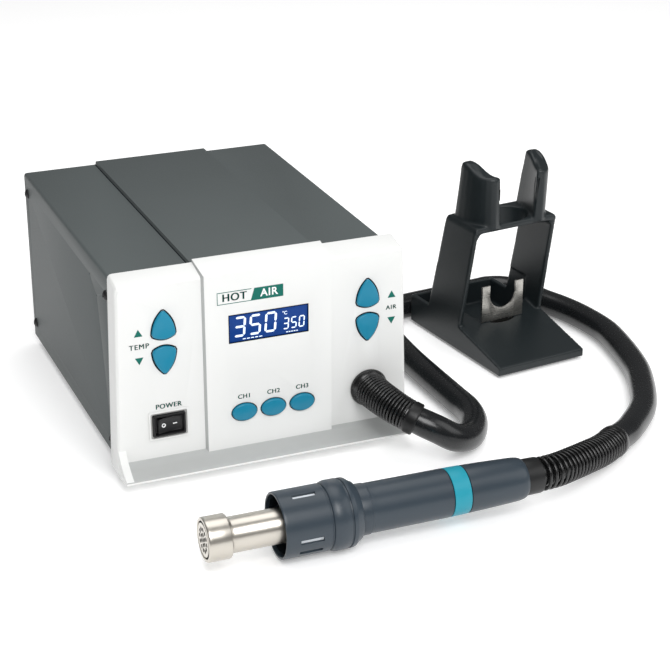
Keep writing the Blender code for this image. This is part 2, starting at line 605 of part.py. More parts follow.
def build_hose(bench, at, start, end):
    # Short first and last pieces keep both ends square to the sleeves they meet.
    short, count = 0.0020, 60
    inner = end - start - 2 * short
    distances = [start] + [start + short + inner * i / (count - 1) for i in range(count)] + [end]
    curve = bpy.data.curves.new("air_hose", "CURVE")
    curve.dimensions = "3D"
    curve.bevel_depth = HOSE_RADIUS
    curve.bevel_resolution = 2
    curve.use_fill_caps = True
    spline = curve.splines.new("POLY")
    spline.points.add(len(distances) - 1)
    for point, distance in zip(spline.points, distances):
        point.co = (*at(distance), 1.0)
    hose = bpy.data.objects.new("air_hose", curve)
    bpy.context.scene.collection.objects.link(hose)
    hose.parent = bench
    curve.materials.append(finish("air_hose", "rubber"))


def build_strain_relief(bench, at, total):
    # The ribbed sleeve on the handset's end of the hose; it belongs to the handset.
    start = total - 0.0142
    stations = [(start, 0.0068), (start, 0.0097)]
    ribs = 11
    span = RELIEF_LENGTH - 0.0060
    pitch = span / ribs
    for i in range(ribs):
        stations += [(start - pitch * i - 0.0002, 0.0094), (start - pitch * (i + 0.28), 0.0102 - 0.0005 * i / ribs),
                     (start - pitch * (i + 0.72), 0.0102 - 0.0005 * i / ribs)]
    tail = start - span
    stations += [(tail, 0.0092), (tail - 0.0008, 0.0100), (tail - 0.0056, 0.0100), (tail - 0.0060, 0.0096),
                 (tail - 0.0060, 0.0068), (tail, 0.0068), (start - span * 0.66, 0.0068), (start - span * 0.33, 0.0068)]
    add_part("strain_relief", skin(swept(at, stations, 14), closed_ring=True), "rubber", bench)
    return tail - 0.0060 - 2 * GAP


def build_handset(axis):
    # Turned pieces on the handset's own axis, x from the outlet face towards the hose.
    collar = [(0.0106, 0.0), (0.0122, 0.0), (0.0128, 0.0006), (0.0128, 0.0134), (0.0124, 0.0138), (0.0106, 0.0138)]
    add_part("outlet_collar", turned(collar, 24, "x"), "steel", axis, smooth=True)
    grille = add_part("outlet_grille", turned([(0.0, 0.0008), (0.0087, 0.0008), (0.0087, 0.0020), (0.0, 0.0020)],
                                              24, "x"), "steel", axis)
    holes = []
    for ring_radius, count in ((0.0, 1), (0.0030, 6), (0.0060, 9)):
        for i in range(count):
            angle = 2 * math.pi * i / count
            place = (0.0, ring_radius * math.cos(angle), ring_radius * math.sin(angle))
            holes.append(moved(turned([(0.0, -0.001), (0.0009, -0.001), (0.0009, 0.004), (0.0, 0.004)], 5, "x"), place))
    cut(grille, "perforations", merged(*holes))
    tube = [(0.0090, 0.0008), (0.0102, 0.0008), (0.0102, 0.0900), (0.0090, 0.0900)]
    add_part("heater_tube", turned(tube, 24, "x"), "steel", axis, smooth=True)
    core = [(0.0, 0.0100), (0.0085, 0.0100), (0.0085, 0.0850), (0.0030, 0.0850), (0.0030, 0.0880), (0.0, 0.0880)]
    add_part("heater_core", turned(core, 16, "x"), "ceramic", axis, smooth=True)
    build_shroud(axis)
    ring = [(0.0196, 0.0690), (0.0202, 0.0730), (0.0202, 0.0830), (0.0196, 0.0842), (0.0160, 0.0885),
            (0.0152, 0.0885), (0.0152, 0.0760), (0.0196, 0.0760)]
    add_part("clamp_ring", turned(ring, 28, "x"), "slate", axis, smooth=True)
    band_start, band_end = 0.1450, 0.1558
    grip = [(0.0108, 0.0770), (0.0148, 0.0770), (0.0148, 0.0900), (0.0147, 0.0950), (0.0143, band_start - 0.0004),
            (0.0128, band_start - 0.0002), (0.0128, band_end + 0.0002), (0.0139, band_end + 0.0004),
            (0.0130, 0.1850), (0.0124, 0.1915), (0.0112, HANDSET_LENGTH), (0.0108, HANDSET_LENGTH)]
    add_part("grip_shell", turned(grip, 28, "x"), "slate", axis, smooth=True)
    band = [(0.0131, band_start), (0.0144, band_start), (0.0141, band_end), (0.0131, band_end)]
    add_part("grip_band", turned(band, 28, "x"), "teal_band", axis, smooth=True)
    cuff = [(0.0075, 0.1800), (0.0105, 0.1800), (0.0105, 0.1936), (0.0108, 0.1938), (0.0106, 0.2036),
            (0.0100, 0.2040), (0.0075, 0.2040)]
    add_part("rear_cuff", turned(cuff, 24, "x"), "black", axis, smooth=True)
    add_part("sensor_board", block((0.1000, -0.0060, 0.0020), (0.1400, 0.0060, 0.0034)), "board_green", axis)


def build_shroud(axis):
    # The heat shield: a thin sleeve round the heater tube, vented by lengthwise slots.
    profile = [(0.0175, 0.0420), (0.0188, 0.0420), (0.0192, 0.0428), (0.0192, 0.0680), (0.0192, 0.0750),
               (0.0148, 0.0750), (0.0106, 0.0750), (0.0106, 0.0730), (0.0165, 0.0720), (0.0176, 0.0700)]
    shroud = add_part("shroud", turned(profile, 28, "x"), "slate", axis, smooth=True)
    slots = []
    for turn in (14.0, 98.0, 124.0, 208.0, 234.0, 318.0):
        slot = block((0.0505, -0.0012, 0.0120), (0.0640, 0.0012, 0.0240))
        bmesh.ops.rotate(slot, cent=(0, 0, 0), matrix=Matrix.Rotation(math.radians(turn), 3, "X"), verts=slot.verts)
        slots.append(slot)
    cut(shroud, "slots", merged(*slots))


def build_stand(stand):
    half, low, block_high = STAND_HALF, STAND_LOW, STAND_BLOCK_HIGH
    side = [(0.0, low), (STAND_DEPTH, low), (STAND_DEPTH, block_high), (STAND_CREASE, block_high),
            (0.0012, 0.0078), (0.0, 0.0066)]
    body = add_part("stand_body", prism(side, "x", -half, half), "stand_slate", stand)
    cut(body, "trough", block((-half + 0.0033, 0.0660, 0.0050), (half - 0.0033, STAND_DEPTH - 0.0030, 0.0400)))
    cut(body, "well", moved(turned([(0.0, 0.0050), (0.0200, 0.0050), (0.0200, 0.0400), (0.0, 0.0400)], 32),
                            (0.0, 0.0665, 0.0)))
    for label, sign in (("left", -1.0), ("right", 1.0)):
        fuse(body, "leg_" + label, stand_leg(sign))
    fuse(body, "deck", stand_deck())
    for label, sign in (("left", -1.0), ("right", 1.0)):
        fuse(body, "ear_" + label, stand_ear(sign))
    outline = ellipse((0.0, 0.0530), (0.0178, 0.0153), 32)
    cut(body, "socket", skin([[(x, y, z) for x, y in outline] for z in (0.0700, STAND_DECK + 0.0006)]))


def stand_leg(sign):
    # A broad thin leg, leaning forward and a little inward as it rises.
    def section(z, front, back, outer, inner):
        corners = [(outer, front), (inner, front), (inner, back), (outer, back)]
        if sign < 0:
            corners = [(-x, y) for x, y in reversed(corners)]
        return [(x, y, z) for x, y in rounded_outline(corners, 0.0008, 2)]
    return skin([section(0.0100, 0.0530, 0.0940, 0.03495, 0.0316),
                 section(0.0240, 0.0500, 0.0905, 0.0349, 0.0316),
                 section(STAND_DECK - 0.0015, 0.0365, 0.0735, 0.0334, 0.0304)])


def stand_deck():
    # The deck across the legs' tops: thin at its front edge and deep at its back.
    top = STAND_DECK
    profile = [(0.0360, 0.0918), (0.0360, top - 0.0012), (0.0372, top), (0.0728, top), (0.0740, top - 0.0012),
               (0.0742, 0.0820), (0.0600, 0.0835), (0.0450, 0.0885)]
    rings = []
    for x, shrink in ((-0.0336, 0.0022), (-0.0316, 0.0), (0.0316, 0.0), (0.0336, 0.0022)):
        rings.append([(x, y, min(z, top - shrink)) for y, z in profile])
    deck = skin(rings)
    bmesh.ops.recalc_face_normals(deck, faces=deck.faces)
    return deck


def ear_height(y):
    # An ear's top is high at the back and drops in an S to its front edge.
    share = min(max((y - 0.0440) / 0.0155, 0.0), 1.0)
    return STAND_TOP - STAND_DIP * (1.0 - share * share * (3.0 - 2.0 * share))


def stand_ear(sign):
    # One side wall of the cradle: curved in plan, upright in front and leaning at the back.
    outer = [(0.0195, 0.0337), (0.0245, 0.0372), (0.0280, 0.0425), (0.0299, 0.0490), (0.0304, 0.0555), (0.0300, 0.0605)]
    inner = [(0.0222, 0.0612), (0.0212, 0.0555), (0.0197, 0.0490), (0.0176, 0.0425), (0.0149, 0.0352)]
    rings = []
    for level, back_shift, widen, shrink in ((0.0, 0.0078, 0.0010, 0.0), (0.20, 0.0066, 0.0008, 0.0),
                                             (0.96, 0.0, 0.0, 0.0), (1.0, 0.0, 0.0, 0.0016)):
        ring = []
        for x, y in outer + inner:
            share = (y - 0.0335) / 0.0275
            away = 1.0 if (x, y) in outer else -0.4
            low = STAND_DECK - 0.0030
            px = x + away * widen - (1.0 if away > 0 else -1.0) * shrink
            py = y + back_shift * share + shrink * (0.5 - share) * 1.6
            ring.append((sign * px, py, low + (ear_height(y) - low) * level))
        rings.append(ring if sign > 0 else list(reversed(ring)))
    return skin(rings)


def build_stand_fittings(stand):
    # The steel rest: an upright plate with a round notch, on a tongue screwed in the well.
    low, high, half = 0.0195, 0.0460, 0.0170
    notch_radius, notch_centre = 0.0107, 0.0387
    front, back = 0.0490, 0.0502
    outline = [(-0.0090, 0.0056), (0.0090, 0.0056), (0.0090, low), (half, low), (half, high), (notch_radius, high)]
    outline += arc((0.0, notch_centre), (notch_radius, notch_radius), 0.0, -180.0, 12)
    outline += [(-notch_radius, high), (-half, high), (-half, low), (-0.0090, low)]
    plate = add_part("rest_bracket", prism(outline, "y", front, back), "steel", stand)
    fuse(plate, "tongue", block((-0.0089, 0.0495, 0.0054), (0.0089, 0.0640, 0.0066)))
    profile = [(0.0, 0.0069), (0.0030, 0.0069), (0.0030, 0.0080), (0.0020, 0.0089), (0.0, 0.0089)]
    add_part("bracket_screw", moved(turned(profile, 16), (0.0, 0.0580, 0.0)), "steel", stand, smooth=True)
    pad = [(0.0, 0.0), (0.0050, 0.0), (0.0050, STAND_LOW - GAP), (0.0, STAND_LOW - GAP)]
    for name, x, y in (("front_left", -0.027, 0.010), ("front_right", 0.027, 0.010),
                       ("back_left", -0.027, 0.104), ("back_right", 0.027, 0.104)):
        add_part("stand_foot_" + name, moved(turned(pad, 16), (x, y, 0.0)), "rubber", stand)


def main():
    clear_scene()
    bench = add_empty("bench", None, (-FOOTPRINT_CENTRE[0], -FOOTPRINT_CENTRE[1], 0.0))
    build_front_panel(bench)
    build_cover(bench)
    build_cover_screws(bench)
    build_tray(bench)
    build_rear_panel(bench)
    build_feet(bench)
    build_display(bench)
    build_keys(bench)
    build_switch(bench)
    build_electronics(bench)
    build_blower(bench)
    at, hose_start, total = build_hose_port(bench)
    hose_end = build_strain_relief(bench, at, total)
    build_hose(bench, at, hose_start, hose_end)
    axis = add_empty("handset_axis", bench, HANDSET_TIP, (0.0, -HANDSET_RISE, HANDSET_HEADING))
    build_handset(axis)
    stand = add_empty("stand_axis", bench, (*STAND_FRONT, 0.0), (0.0, 0.0, STAND_TURN))
    build_stand(stand)
    build_stand_fittings(stand)


main()
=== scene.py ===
import math

import bmesh
import bpy
from mathutils import Matrix, Vector


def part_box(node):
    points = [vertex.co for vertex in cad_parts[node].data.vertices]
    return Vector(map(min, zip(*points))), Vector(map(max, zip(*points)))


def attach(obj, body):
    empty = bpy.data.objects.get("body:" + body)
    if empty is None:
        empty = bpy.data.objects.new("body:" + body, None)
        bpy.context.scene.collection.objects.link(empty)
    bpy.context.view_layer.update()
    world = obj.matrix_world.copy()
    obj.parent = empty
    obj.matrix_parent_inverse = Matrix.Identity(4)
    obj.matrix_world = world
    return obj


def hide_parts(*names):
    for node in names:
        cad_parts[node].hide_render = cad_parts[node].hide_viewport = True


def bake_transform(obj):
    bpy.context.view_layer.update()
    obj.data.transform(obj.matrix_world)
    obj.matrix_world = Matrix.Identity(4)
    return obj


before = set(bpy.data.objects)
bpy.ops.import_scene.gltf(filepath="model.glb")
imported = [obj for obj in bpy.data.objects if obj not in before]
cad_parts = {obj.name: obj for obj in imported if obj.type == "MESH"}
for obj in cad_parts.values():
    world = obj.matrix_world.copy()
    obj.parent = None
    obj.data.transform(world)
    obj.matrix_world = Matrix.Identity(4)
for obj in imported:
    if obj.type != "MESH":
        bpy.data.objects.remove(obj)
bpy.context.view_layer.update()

# everything hangs off three places: the bench unit, the handset and the stand
panelLow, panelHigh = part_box("front_panel")
bench = Vector(((panelLow[0] + panelHigh[0]) / 2, panelHigh[1] - 0.016, 0.0))
benchPlace = Matrix.Translation(bench)
handsetPlace = (Matrix.Translation(bench + Vector((-0.0779, -0.1108, 0.01966)))
                @ Matrix.Rotation(math.radians(-1.29), 4, "Z") @ Matrix.Rotation(math.radians(-0.45), 4, "Y"))
standPlace = (Matrix.Translation(bench + Vector((0.22147, 0.05555, 0.0)))
              @ Matrix.Rotation(math.radians(7.2), 4, "Z"))
print("frame loaded, bench unit at", [round(v, 4) for v in bench])


finishes = {}
grainDepth = 0.0001


# every finish has a slow drift of colour and a fine grain, and is kept under its name
def surface(name, colour, roughness, metallic=0.0, tint=None, cloud=18.0, grain=1500.0, bump=0.08,
            spread=0.08, stretch=(1.0, 1.0, 1.0), emission=0.0, specular=0.5):
    material = bpy.data.materials.new(name)
    material.use_nodes = True
    nodes, links = material.node_tree.nodes, material.node_tree.links
    shader = nodes["Principled BSDF"]
    shader.inputs["Metallic"].default_value = metallic
    shader.inputs["Specular IOR Level"].default_value = specular
    coords = nodes.new("ShaderNodeTexCoord")
    mapping = nodes.new("ShaderNodeMapping")
    mapping.inputs["Scale"].default_value = stretch
    links.new(coords.outputs["Object"], mapping.inputs["Vector"])
    broad = nodes.new("ShaderNodeTexNoise")  # slow drift of colour over the whole piece
    broad.inputs["Scale"].default_value = cloud
    broad.inputs["Detail"].default_value = 3.0
    links.new(coords.outputs["Object"], broad.inputs["Vector"])
    mix = nodes.new("ShaderNodeMix")
    mix.data_type = "RGBA"
    mix.inputs["A"].default_value = (*colour, 1.0)
    mix.inputs["B"].default_value = (*(tint or tuple(c * 0.90 for c in colour)), 1.0)
    links.new(broad.outputs["Fac"], mix.inputs["Factor"])
    links.new(mix.outputs["Result"], shader.inputs["Base Color"])
    fine = nodes.new("ShaderNodeTexNoise")  # moulding grain, paint texture or brushing
    fine.inputs["Scale"].default_value = grain
    fine.inputs["Detail"].default_value = 2.0
    links.new(mapping.outputs["Vector"], fine.inputs["Vector"])
    rough = nodes.new("ShaderNodeMapRange")
    rough.inputs["To Min"].default_value = max(roughness - spread, 0.02)
    rough.inputs["To Max"].default_value = min(roughness + spread, 1.0)
    links.new(fine.outputs["Fac"], rough.inputs["Value"])
    links.new(rough.outputs["Result"], shader.inputs["Roughness"])
    lift = nodes.new("ShaderNodeBump")
    lift.inputs["Strength"].default_value = bump
    lift.inputs["Distance"].default_value = grainDepth
    links.new(fine.outputs["Fac"], lift.inputs["Height"])
    links.new(lift.outputs["Normal"], shader.inputs["Normal"])
    if emission > 0.0:
        shader.inputs["Emission Color"].default_value = (*colour, 1.0)
        shader.inputs["Emission Strength"].default_value = emission
    finishes[name] = material


surface("panelWhite", (0.695, 0.70, 0.69), 0.42, tint=(0.665, 0.67, 0.66), grain=2200.0)
# grey painted shade for the white panel's lip top and the pad's left side
surface("panelPaintedShade", (0.40, 0.41, 0.405), 0.42, tint=(0.37, 0.38, 0.375), grain=2200.0)
surface("coverPaint", (0.080, 0.092, 0.093), 0.55, tint=(0.073, 0.085, 0.085), grain=1300.0, bump=0.14,
        specular=0.30)
surface("zincSheet", (0.55, 0.56, 0.57), 0.42, 1.0, grain=400.0, stretch=(1.0, 0.05, 1.0))
surface("keyTeal", (0.004, 0.200, 0.320), 0.35, tint=(0.003, 0.165, 0.270), specular=0.35)
surface("bandTeal", (0.010, 0.260, 0.340), 0.40, tint=(0.008, 0.225, 0.30), specular=0.35)
surface("printTeal", (0.006, 0.130, 0.100), 0.60, specular=0.20)
surface("printWhite", (0.85, 0.86, 0.86), 0.50)
surface("lcdBlue", (0.002, 0.038, 0.205), 0.30, tint=(0.001, 0.030, 0.165), cloud=40.0, emission=0.06,
        bump=0.0, specular=0.20)
surface("lcdLight", (0.74, 0.84, 0.95), 0.40, emission=0.35, bump=0.0)
surface("switchBlack", (0.006, 0.006, 0.007), 0.34, specular=0.40)
surface("greyGap", (0.42, 0.42, 0.41), 0.60)
# near black: painted shade in the key wells, the outlet holes and behind the outlet plate, inside the shroud
# and along the ridge; also the display's rim and the lines beside the grip's band
surface("darkGap", (0.003, 0.006, 0.009), 0.85, specular=0.10)
surface("blackMetal", (0.010, 0.010, 0.011), 0.40, specular=0.40)
surface("hoseRubber", (0.0055, 0.0062, 0.0068), 0.25, tint=(0.010, 0.011, 0.012), cloud=50.0, grain=900.0,
        spread=0.08, specular=0.50)
surface("ribRubber", (0.0040, 0.0042, 0.0045), 0.27, grain=1200.0, specular=0.55)
surface("cuffPlastic", (0.0055, 0.0058, 0.0062), 0.40, grain=1500.0, specular=0.40)
surface("footRubber", (0.012, 0.012, 0.013), 0.75, specular=0.25)
surface("handsetSlate", (0.026, 0.038, 0.051), 0.34, tint=(0.022, 0.033, 0.044), grain=1700.0, bump=0.10,
        specular=0.45)
surface("slotLining", (0.68, 0.72, 0.76), 0.50)
surface("standSlate", (0.0120, 0.0165, 0.0185), 0.38, tint=(0.0100, 0.0140, 0.0155), grain=1400.0,
        bump=0.12, specular=0.35)
surface("turnedSteel", (0.56, 0.53, 0.48), 0.30, 1.0, tint=(0.50, 0.47, 0.42), cloud=60.0, grain=2600.0,
        stretch=(1.0, 0.05, 0.05), bump=0.05, spread=0.05)
surface("plateSteel", (0.55, 0.535, 0.50), 0.30, 1.0, tint=(0.42, 0.41, 0.38), cloud=120.0, grain=1800.0,
        stretch=(0.05, 0.05, 1.0), bump=0.12, spread=0.12)
surface("sootSteel", (0.02, 0.02, 0.02), 0.60, 0.3)
surface("boardGreen", (0.02, 0.16, 0.07), 0.45)
print("finishes made", len(finishes))


def piece(name, shape, finish, body, replaces=(), place=None, sharp=35.0, keepWinding=False):
    if not keepWinding:
        bmesh.ops.recalc_face_normals(shape, faces=shape.faces)
    if place is not None:
        shape.transform(place)
    mesh = bpy.data.meshes.new(name)
    shape.to_mesh(mesh)
    shape.free()
    thing = bpy.data.objects.new(name, mesh)
    bpy.context.scene.collection.objects.link(thing)
    mesh.materials.append(finishes[finish])
    mesh.shade_smooth()
    mesh.set_sharp_from_angle(angle=math.radians(sharp))
    settle(thing, body, replaces)
    return thing


def settle(thing, body, replaces=()):
    if body:
        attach(thing, body)
    if replaces:
        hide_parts(*replaces)


def loft(rings, loop=False):
    # skins rings of equal count; a loop joins the last to the first, and the others get end caps
    shape = bmesh.new()
    rows = [[shape.verts.new(p) for p in ring] for ring in rings]
    count = len(rows[0])
    pairs = list(zip(rows, rows[1:])) + ([(rows[-1], rows[0])] if loop else [])
    for near, far in pairs:
        for i in range(count):
            j = (i + 1) % count
            shape.faces.new((near[i], near[j], far[j], far[i]))
    if not loop:
        shape.faces.new(rows[0])
        shape.faces.new(list(reversed(rows[-1])))
    return shape


def lathe(profile, steps=72):
    # profile is (radius, station) along x
    turns = [2 * math.pi * i / steps for i in range(steps)]
    rings = [[(s, r * math.cos(turn), r * math.sin(turn)) for turn in turns] for r, s in profile]
    return loft(rings, loop=True)


def rimRing(outer, inner, front, back):
    # a flat ring between two outlines in x and z
    edges = ((outer, front), (inner, front), (inner, back), (outer, back))
    return loft([[(x, y, z) for x, z in outline] for outline, y in edges], loop=True)


def oval(x, z, across, up, steps=48):
    turns = [2 * math.pi * k / steps for k in range(steps)]
    return [(x + across * math.cos(turn), z + up * math.sin(turn)) for turn in turns]


def fillet(points, radius, steps=4):
    # rounds every corner of a closed outline in 2D
    result = []
    count = len(points)
    for i, point in enumerate(points):
        here = Vector(point)
        a, b = Vector(points[i - 1]), Vector(points[(i + 1) % count])
        reach = min(radius, (a - here).length * 0.45, (b - here).length * 0.45)
        a = here + (a - here).normalized() * reach
        b = here + (b - here).normalized() * reach
        for k in range(steps + 1):
            t = k / steps
            result.append(tuple(a * (1 - t) ** 2 + here * 2 * t * (1 - t) + b * t ** 2))
    return result


def joined(*shapes):
    total = bmesh.new()
    for shape in shapes:
        mesh = bpy.data.meshes.new("part")
        shape.to_mesh(mesh)
        shape.free()
        total.from_mesh(mesh)
        bpy.data.meshes.remove(mesh)
    return total


def boxShape(low, high, bevel=0.0, segments=3):
    shape = bmesh.new()
    bmesh.ops.create_cube(shape, size=1.0)
    bmesh.ops.scale(shape, vec=[b - a for a, b in zip(low, high)], verts=shape.verts)
    bmesh.ops.translate(shape, vec=[(a + b) / 2 for a, b in zip(low, high)], verts=shape.verts)
    if bevel > 0.0:
        bmesh.ops.bevel(shape, geom=list(shape.edges), offset=bevel, segments=segments, profile=0.5,
                        affect="EDGES")
    return shape


def slab(outline, back, front):
    # an outline in x and z, given thickness along y
    return loft([[(x, y, z) for x, z in outline] for y in (back, front)])


def modified(source, name, *settings):
    # runs modifiers on a scratch object and gives back a bmesh of the result
    mesh = bpy.data.meshes.new(name)
    source.to_mesh(mesh)
    source.free()
    scratch = bpy.data.objects.new(name, mesh)
    bpy.context.scene.collection.objects.link(scratch)
    for kind, values in settings:
        step = scratch.modifiers.new(kind, kind)
        for key, value in values.items():
            setattr(step, key, value)
    evaluated = scratch.evaluated_get(bpy.context.evaluated_depsgraph_get())
    result = bmesh.new()
    final = bpy.data.meshes.new_from_object(evaluated)
    result.from_mesh(final)
    bpy.data.objects.remove(scratch, do_unlink=True)
    bpy.data.meshes.remove(final)
    return result


def cutAway(shape, name, cutter):
    # takes one solid out of another
    bmesh.ops.recalc_face_normals(cutter, faces=cutter.faces)
    mesh = bpy.data.meshes.new(name + "Tool")
    cutter.to_mesh(mesh)
    cutter.free()
    tool = bpy.data.objects.new(name + "Tool", mesh)
    bpy.context.scene.collection.objects.link(tool)
    tool.hide_render = True
    result = modified(shape, name, ("BOOLEAN", {"operation": "DIFFERENCE", "object": tool}))
    bpy.data.objects.remove(tool, do_unlink=True)
    return result


def softCopy(node, width, segments=3, angle=28.0, adjust=None):
    # a CAD node's own shape with its edges rounded over
    shape = bmesh.new()
    shape.from_mesh(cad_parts[node].data)
    bmesh.ops.remove_doubles(shape, verts=shape.verts, dist=0.000004)
    if adjust:
        adjust(shape)
    bmesh.ops.dissolve_limit(shape, angle_limit=math.radians(0.6), verts=shape.verts, edges=shape.edges)
    return modified(shape, node + "Soft",
                    ("BEVEL", {"width": width, "segments": segments, "limit_method": "ANGLE",
                               "angle_limit": math.radians(angle), "use_clamp_overlap": True}))


# geometry node helpers
def newTree(name, inputs):
    tree = bpy.data.node_groups.new(name, "GeometryNodeTree")
    tree.interface.new_socket("Geometry", in_out="OUTPUT", socket_type="NodeSocketGeometry")
    tree.interface.new_socket("Geometry", in_out="INPUT", socket_type="NodeSocketGeometry")
    for label, kind, value in inputs:
        socket = tree.interface.new_socket(label, in_out="INPUT", socket_type="NodeSocket" + kind)
        if value is not None:
            socket.default_value = value
    return tree, tree.nodes.new("NodeGroupInput"), tree.nodes.new("NodeGroupOutput")


def runTree(tree, source, values, name, finish):
    modifier = source.modifiers.new("build", "NODES")
    modifier.node_group = tree
    values = dict(values, Material=finishes[finish])
    for item in tree.interface.items_tree:
        if item.item_type == "SOCKET" and item.in_out == "INPUT" and item.name in values:
            modifier[item.identifier] = values[item.name]
    evaluated = source.evaluated_get(bpy.context.evaluated_depsgraph_get())
    mesh = bpy.data.meshes.new_from_object(evaluated)
    source.modifiers.remove(modifier)
    bpy.data.objects.remove(source, do_unlink=True)
    mesh.name = name
    thing = bpy.data.objects.new(name, mesh)
    bpy.context.scene.collection.objects.link(thing)
    mesh.shade_smooth()
    mesh.set_sharp_from_angle(angle=math.radians(40.0))
    return thing


def finishTree(tree, groupIn, groupOut, geometry):
    real = tree.nodes.new("GeometryNodeRealizeInstances")
    paint = tree.nodes.new("GeometryNodeSetMaterial")
    tree.links.new(geometry, real.inputs[0])
    tree.links.new(real.outputs[0], paint.inputs["Geometry"])
    tree.links.new(groupIn.outputs["Material"], paint.inputs["Material"])
    tree.links.new(paint.outputs[0], groupOut.inputs[0])


def ringTree():
    # rings square to a path, whose size runs from one radius to another along it
    tree, groupIn, groupOut = newTree("ribRings", (("Count", "Int", 12), ("Start Radius", "Float", 0.01),
                                                   ("End Radius", "Float", 0.01), ("Rib", "Float", 0.001),
                                                   ("Flatten", "Float", 1.0), ("Material", "Material", None)))
    nodes, links = tree.nodes, tree.links
    resample = nodes.new("GeometryNodeResampleCurve")
    links.new(groupIn.outputs["Geometry"], resample.inputs["Curve"])
    links.new(groupIn.outputs["Count"], resample.inputs["Count"])
    hoop = nodes.new("GeometryNodeCurvePrimitiveCircle")
    hoop.inputs["Resolution"].default_value = 56
    hoop.inputs["Radius"].default_value = 1.0
    along = nodes.new("GeometryNodeSplineParameter")
    size = nodes.new("ShaderNodeMapRange")
    links.new(along.outputs["Factor"], size.inputs["Value"])
    links.new(groupIn.outputs["Start Radius"], size.inputs["To Min"])
    links.new(groupIn.outputs["End Radius"], size.inputs["To Max"])
    tangent = nodes.new("GeometryNodeInputTangent")
    align = nodes.new("FunctionNodeAlignRotationToVector")
    align.axis = "Z"
    links.new(tangent.outputs[0], align.inputs["Vector"])
    place = nodes.new("GeometryNodeInstanceOnPoints")
    links.new(resample.outputs[0], place.inputs["Points"])
    links.new(hoop.outputs[0], place.inputs["Instance"])
    links.new(align.outputs[0], place.inputs["Rotation"])
    links.new(size.outputs["Result"], place.inputs["Scale"])
    real = nodes.new("GeometryNodeRealizeInstances")
    links.new(place.outputs[0], real.inputs[0])
    rib = nodes.new("GeometryNodeCurvePrimitiveCircle")
    rib.inputs["Resolution"].default_value = 12
    links.new(groupIn.outputs["Rib"], rib.inputs["Radius"])
    squeeze = nodes.new("GeometryNodeTransform")
    combine = nodes.new("ShaderNodeCombineXYZ")
    combine.inputs["X"].default_value = 1.0
    combine.inputs["Z"].default_value = 1.0
    links.new(groupIn.outputs["Flatten"], combine.inputs["Y"])
    links.new(rib.outputs[0], squeeze.inputs["Geometry"])
    links.new(combine.outputs[0], squeeze.inputs["Scale"])
    sweep = nodes.new("GeometryNodeCurveToMesh")
    links.new(real.outputs[0], sweep.inputs["Curve"])
    links.new(squeeze.outputs[0], sweep.inputs["Profile Curve"])
    finishTree(tree, groupIn, groupOut, sweep.outputs[0])
    return tree


def screwTree():
    # a pan head with a cross recess on every point, facing along the point's normal
    tree, groupIn, groupOut = newTree("sideScrews", (("Head", "Float", 0.0032), ("Rise", "Float", 0.0020),
                                                     ("Material", "Material", None)))
    nodes, links = tree.nodes, tree.links
    dome = nodes.new("GeometryNodeMeshUVSphere")
    dome.inputs["Segments"].default_value = 28
    dome.inputs["Rings"].default_value = 14
    dome.inputs["Radius"].default_value = 1.0
    combine = nodes.new("ShaderNodeCombineXYZ")
    links.new(groupIn.outputs["Head"], combine.inputs["X"])
    links.new(groupIn.outputs["Head"], combine.inputs["Y"])
    links.new(groupIn.outputs["Rise"], combine.inputs["Z"])
    flat = nodes.new("GeometryNodeTransform")
    links.new(dome.outputs["Mesh"], flat.inputs["Geometry"])
    links.new(combine.outputs[0], flat.inputs["Scale"])
    recess = nodes.new("GeometryNodeMeshBoolean")
    recess.operation = "DIFFERENCE"
    links.new(flat.outputs[0], recess.inputs["Mesh 1"])
    for size in ((0.0036, 0.0008, 0.0022), (0.0008, 0.0036, 0.0022)):
        bar = nodes.new("GeometryNodeMeshCube")
        bar.inputs["Size"].default_value = size
        lifted = nodes.new("GeometryNodeTransform")
        lifted.inputs["Translation"].default_value = (0.0, 0.0, 0.0023)
        links.new(bar.outputs["Mesh"], lifted.inputs["Geometry"])
        links.new(lifted.outputs[0], recess.inputs["Mesh 2"])
    normal = nodes.new("GeometryNodeInputNormal")
    align = nodes.new("FunctionNodeAlignRotationToVector")
    align.axis = "Z"
    links.new(normal.outputs[0], align.inputs["Vector"])
    place = nodes.new("GeometryNodeInstanceOnPoints")
    links.new(groupIn.outputs["Geometry"], place.inputs["Points"])
    links.new(recess.outputs["Mesh"], place.inputs["Instance"])
    links.new(align.outputs[0], place.inputs["Rotation"])
    finishTree(tree, groupIn, groupOut, place.outputs[0])
    return tree


